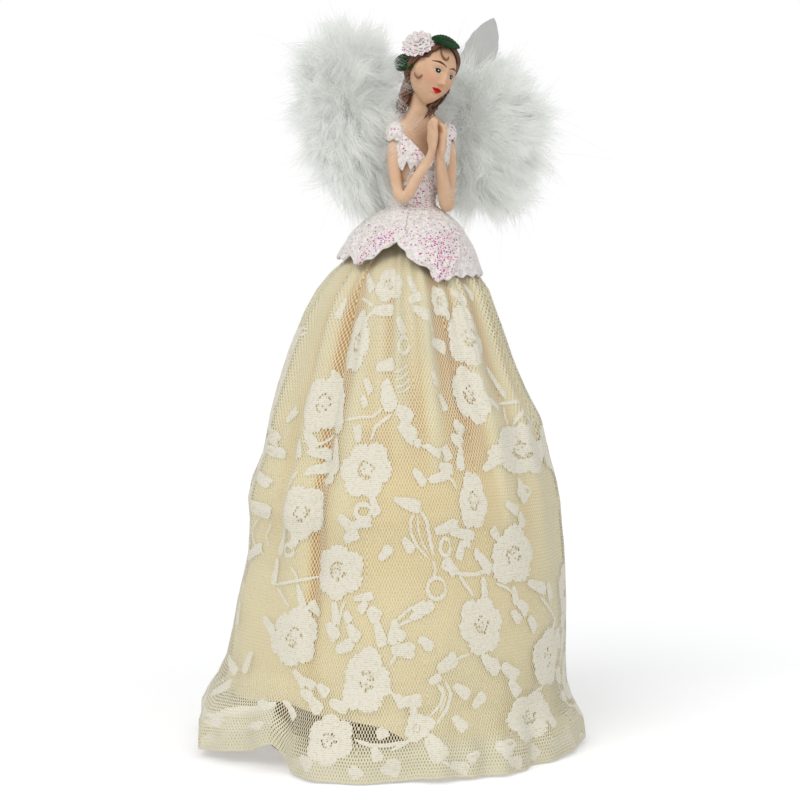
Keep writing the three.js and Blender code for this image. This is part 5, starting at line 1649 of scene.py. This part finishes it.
glossy_leaf = new_material("glossy_leaf", leaf_shader)
across, length = np.meshgrid(np.linspace(-1, 1, 25), np.linspace(0, 1, 70))
for name, aim, facing, spin in (
        ("front", (-0.2, -0.56, 0.84), (-0.2, -0.7, 0.7), -7),
        ("side", (-0.88, 0.42, -0.1), (-0.97, -0.1, -0.1), 90)):
    place = 0.03 + 0.94 * length
    half = leaf_half * np.sin(math.pi * place) ** 0.8 * (1 + 0.05 * np.cos(length * 60))
    x = (length - 0.5) * leaf_long
    side_vein = (length * 9 + np.abs(across) * 1.6) % 1 - 0.5
    vein = np.exp(-(across / 0.09) ** 2) + 0.5 * np.exp(-(side_vein / 0.16) ** 2)
    sag = (x ** 2 + (across * half) ** 2) / (3 * leaf_long) + 0.28 * mm * vein * (1 - 0.5 * np.abs(across))
    leaf = np.stack((x, across * half, 0.25 * mm - sag), -1)
    seated = seated_sheet(
        f"leaf_{name}", leaf, seat_on_hair(aim, facing, 1.8 * mm, math.radians(spin)), glossy_leaf,
        0.6 * mm, f"head_leaf_{name}")
    lay_by_points(seated, leaf.reshape(-1, 3)[:, :2])

# Wing mount and wires: a felt-covered pad glued to the back, and in each of its two channels the
# upright leg of a steel wire, which swings and carries one wing. Their CAD solids are right.
dress_node("wing_mount", mottled(
    "white_felt", dye(216, 214, 204), dye(234, 232, 224), 0.7 * mm, 0.95, 0.25 * mm))
steel_wire = mottled(
    "steel_wire", dye(150, 150, 148), dye(186, 186, 182), 1.2 * mm, 0.35, 0.01 * mm,
    stretch=(1, 1, 0.1), Metallic=1.0)
dress_node("right_wing_stem", steel_wire)
dress_node("left_wing_stem", steel_wire)

# Stiff feathers: one trimmed white quill feather is bound to each wire and stands up out of the down.
# Its vanes are combed barbs set aslant on a pale shaft.
hinge_middle = np.array((4.354, 13, 280.3)) * mm
hinge_aside = 8 * mm
wing_sweep = math.radians(14)
wing_reach = 76 * mm
wing_high = 112 * mm
wing_foot = 13.56 * mm
vane_half = 9 * mm


def from_wing(points, side):
    """Turns points from a wing's own frame, whose middle is its hinge, to the object's."""
    turn = np.array(Matrix.Rotation(-side * wing_sweep, 3, "Z"))
    return points @ turn.T + hinge_middle + np.array((side * hinge_aside, 0, 0))


def vane_shader(tree):
    lay = lay_place(tree)
    parts = node(tree, "SeparateXYZ", {"Vector": lay})
    aside = calc(tree, "ABSOLUTE", calc(tree, "SUBTRACT", parts.outputs["X"], vane_half))
    slanted = calc(tree, "MULTIPLY_ADD", aside, -1.3, parts.outputs["Y"])
    ragged = uneven(tree, lay, 120, 4)
    line = calc(tree, "MULTIPLY_ADD", ragged, 0.9 * mm, slanted)
    barb = calc(tree, "DIVIDE", calc(tree, "PINGPONG", line, 0.32 * mm), 0.32 * mm)
    mixed = weighed(tree, barb, 0.5, ragged, 0.5)
    return node(tree, "BsdfPrincipled", {
        "Base Color": tones(tree, mixed, (0.1, dye(177, 177, 173)), (0.7, dye(197, 197, 194))),
        "Roughness": 0.7, "Sheen Weight": 0.2, "Normal": raised(tree, barb, 0.35, 0.12 * mm)})


vane = new_material("feather_vane", vane_shader)
for side, name, tip_out, tip_share in ((-1, "right", 0.5, 0.84), (1, "left", 0.595, 1.03)):
    foot = np.array((0.12 * wing_reach, 40 * mm))
    tip = np.array((tip_out * wing_reach, wing_foot + tip_share * wing_high))
    t = np.linspace(0, 1, 80)[:, None] ** 0.8
    axis = tip - foot
    quill_long = np.linalg.norm(axis)
    tapered = np.sin(math.pi / 2 * np.minimum(1, quill_long * (1 - t) / (22 * mm)) ** 0.8)
    half = 1.06 * tapered * np.minimum(1, 0.1 + 2 * t)
    across = np.linspace(-1, 1, 29)[None, :]
    ragged = 1 + 0.02 * np.sin(t * 90 + 5 * across) * np.abs(across)
    aside = across * half * ragged * vane_half
    wide = np.array((-axis[1], axis[0])) / quill_long
    x = foot[0] + axis[0] * t + wide[0] * aside
    z = foot[1] + axis[1] * t + wide[1] * aside
    shaft = 0.45 * mm * np.exp(-(aside / (0.55 * mm)) ** 2) * (1 - t) ** 0.5
    y = -1.75 * mm - shaft - 0.2 * mm * (1 - (aside / vane_half) ** 2)
    points = from_wing(np.stack((side * x, y, z), -1).reshape(-1, 3), side).reshape(80, 29, 3)
    if side > 0:
        points = points[::-1]
    blade = cloth_piece(
        f"{name}_quill_feather", points, vane, f"{name}_wing", closed=False,
        cut=(2 * vane_half, float(quill_long)), wall=0.45 * mm)
    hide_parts(f"{name}_wing_blade")

# Down: turkey marabou in full clumps, bound before and behind each stiff feather. Its barbs spread
# from the middle of the wing, lie over each other, and end in loose wisps past its edge.
# Each row: share of the wing's height, its inner and outer edges as shares of its reach, its depth.
down_rows = {
    "right": np.array([
        (0.09, 0.12, 0.32, 0.3), (0.15, 0.065, 0.55, 0.6), (0.28, 0.065, 0.68, 0.85),
        (0.43, 0.065, 0.84, 1.0), (0.61, 0.065, 0.94, 1.0), (0.77, 0.08, 0.87, 0.85),
        (0.87, 0.16, 0.74, 0.6), (0.94, 0.26, 0.56, 0.3),
    ]),
    "left": np.array([
        (0.02, 0.46, 0.68, 0.3), (0.09, 0.28, 0.82, 0.6), (0.21, 0.14, 0.94, 0.85),
        (0.37, 0.065, 1.01, 1.0), (0.52, 0.065, 1.04, 1.0), (0.66, 0.065, 0.96, 0.85),
        (0.80, 0.13, 0.80, 0.6), (0.90, 0.28, 0.62, 0.3),
    ]),
}
down_depth = 12 * mm
tuft_count = 268
near_count = 72
barbs_each = 48
barb_points = 7


def down_shader(tree):
    tint = node(tree, "Attribute", attribute_name="tint")
    mixed = weighed(tree, tint.outputs["Fac"], 0.6, uneven(tree, object_place(tree), 120, 3), 0.4)
    tone = tones(tree, mixed, (0.1, dye(236, 237, 234)), (0.9, dye(246, 247, 245)))
    face = node(tree, "BsdfPrincipled", {"Base Color": tone, "Roughness": 0.9, "Specular IOR Level": 0.1})
    return see_through(tree, face, tone, 0.45, 0.8)


down = new_material("marabou_down", down_shader)


def tuft_field(table, top, spread, roots):
    """The places, ways, lengths and curls of a bundle's tufts, in the wing's frame."""
    up = roots.uniform(table[0, 0] + 0.02, top, tuft_count * 4)
    out = roots.uniform(0.065, 1.04, tuft_count * 4)
    inner, outer, deep = table_at(table, up, 1, 2, 3)
    kept = np.flatnonzero((out > inner) & (out < outer))[:tuft_count]
    up, out, inner, outer, deep = (values[kept] for values in (up, out, inner, outer, deep))
    across = (out - inner) / (outer - inner)
    middle = np.array((0.42, np.average(table[:, 0], weights=table[:, 2] - table[:, 1])))
    x = (middle[0] + (out - middle[0]) * spread[0] - spread[2]) * wing_reach
    z = wing_foot + (middle[1] + (up - middle[1]) * spread[1]) * wing_high
    y = 1.6 * mm + down_depth * deep * np.sin(math.pi * across ** 1.4) * roots.uniform(0.1, 0.9, len(x))
    aside = np.stack(((x / wing_reach - middle[0]) * 1.1, (z - wing_foot) / wing_high - middle[1]), -1)
    far = np.minimum(1, np.linalg.norm(aside, axis=1) / 0.5)
    heading = np.arctan2(aside[:, 1], aside[:, 0])
    heading += (0.5 * np.sin(130 * x + 60 * z) + roots.normal(0, 0.9, len(x))) * (1.15 - far)
    lift = 0.55 * (1 - far ** 1.5) + roots.normal(0.1, 0.25, len(x))
    ways = unit(np.stack((np.cos(heading), lift, np.sin(heading)), -1))
    curls = unit(np.cross(ways, roots.normal(0, 1, ways.shape))) * roots.uniform(0.1, 0.6, (len(x), 1))
    longs = roots.uniform(12, 19, len(x)) * mm * (0.85 + 0.15 * far)
    return np.stack((x, y, z), -1), ways, longs, curls, np.ones(len(x))


def near_tufts(roots):
    """Loose, finer tufts at the root of a wing, which lie over the figure's shoulder, arm and hair."""
    x, z = roots.uniform(7, 19, near_count) * mm, roots.uniform(26, 107, near_count) * mm
    y = roots.uniform(8, 17, near_count) * mm
    ways = unit(np.stack((
        roots.uniform(-0.6, 0.1, near_count), roots.uniform(0.4, 1, near_count),
        roots.normal(0, 0.7, near_count)), -1))
    curls = roots.normal(0, 0.35, (near_count, 3))
    longs = roots.uniform(9, 16, near_count) * mm
    return np.stack((x, y, z), -1), ways, longs, curls, np.full(near_count, 0.5)


def tuft_mesh(starts, ways, longs, curls, fine, front, roots):
    """Fine tapered ribbons that fan out from each tuft's root, curve alike and gather at its tip."""
    t = np.linspace(0, 1, barb_points)[None, :, None]
    droop = np.array((0, 0, -0.10))
    spine = starts[:, None] + longs[:, None, None] * (ways[:, None] * t + (curls[:, None] + droop) * t ** 2)
    tuft = np.repeat(np.arange(len(starts)), barbs_each)
    count = len(tuft)
    way = ways[tuft] + roots.normal(0, 0.24, (count, 3))
    curl = curls[tuft] + roots.normal(0, 0.16, (count, 3)) + droop
    loose = roots.uniform(0, 1, (count, 1, 1)) < 0.06 * (fine[tuft] > 0.9)[:, None, None]
    long = longs[tuft][:, None, None] * roots.uniform(0.55, 1.1, (count, 1, 1)) * np.where(loose, 1.3, 1)
    start = starts[tuft] + roots.normal(0, 1, (count, 3)) * np.array((2.4, 1.2, 2.4)) * mm
    line = start[:, None] + long * (way[:, None] * t + curl[:, None] * t ** 2)
    pull = np.where(loose, 0.1, 0.62) * t ** 1.2 * roots.uniform(0.5, 1, (count, 1, 1))
    line += (spine[tuft] - line) * pull
    slope = np.gradient(line, axis=1)
    aside = unit(np.cross(slope, roots.normal(0, 1, (count, 1, 3))))
    wide = roots.uniform(0.10, 0.19, (count, 1, 1)) * mm * (1 - 0.75 * t) * fine[tuft][:, None, None]
    edges = np.stack((line - aside * wide, line + aside * wide), 2)
    if front:
        edges[..., 1] = -edges[..., 1]
    base = (np.arange(count) * barb_points * 2)[:, None] + np.arange(barb_points - 1)[None] * 2
    faces = np.stack((base, base + 1, base + 3, base + 2), -1).reshape(-1, 4)
    shade = 0.6 * roots.uniform(0, 1, count) + 0.4 * roots.uniform(0, 1, len(starts))[tuft]
    return edges.reshape(-1, 3), faces, np.repeat(shade, barb_points * 2)


for side, name in ((-1, "right"), (1, "left")):
    for front in (True, False):
        roots = np.random.default_rng(40 + side + (10 if front else 0))
        top = 0.8 if front and side > 0 else down_rows[name][-1, 0] - 0.02
        spread = (0.78, 0.84, 0) if side > 0 else (0.74, 0.98, 0.06)
        tufts = tuft_field(down_rows[name], top, spread, roots)
        if front:
            tufts = [np.concatenate(pair) for pair in zip(tufts, near_tufts(roots))]
        points, faces, tints = tuft_mesh(*tufts, front, roots)
        points[:, 0] *= side
        place = "front" if front else "back"
        bundle = new_piece(f"{name}_{place}_down", from_wing(points, side), faces.tolist())
        tint_piece(bundle, tints)
        finish_piece(bundle, down, f"{name}_wing", f"{name}_wing_{place}_fluff")
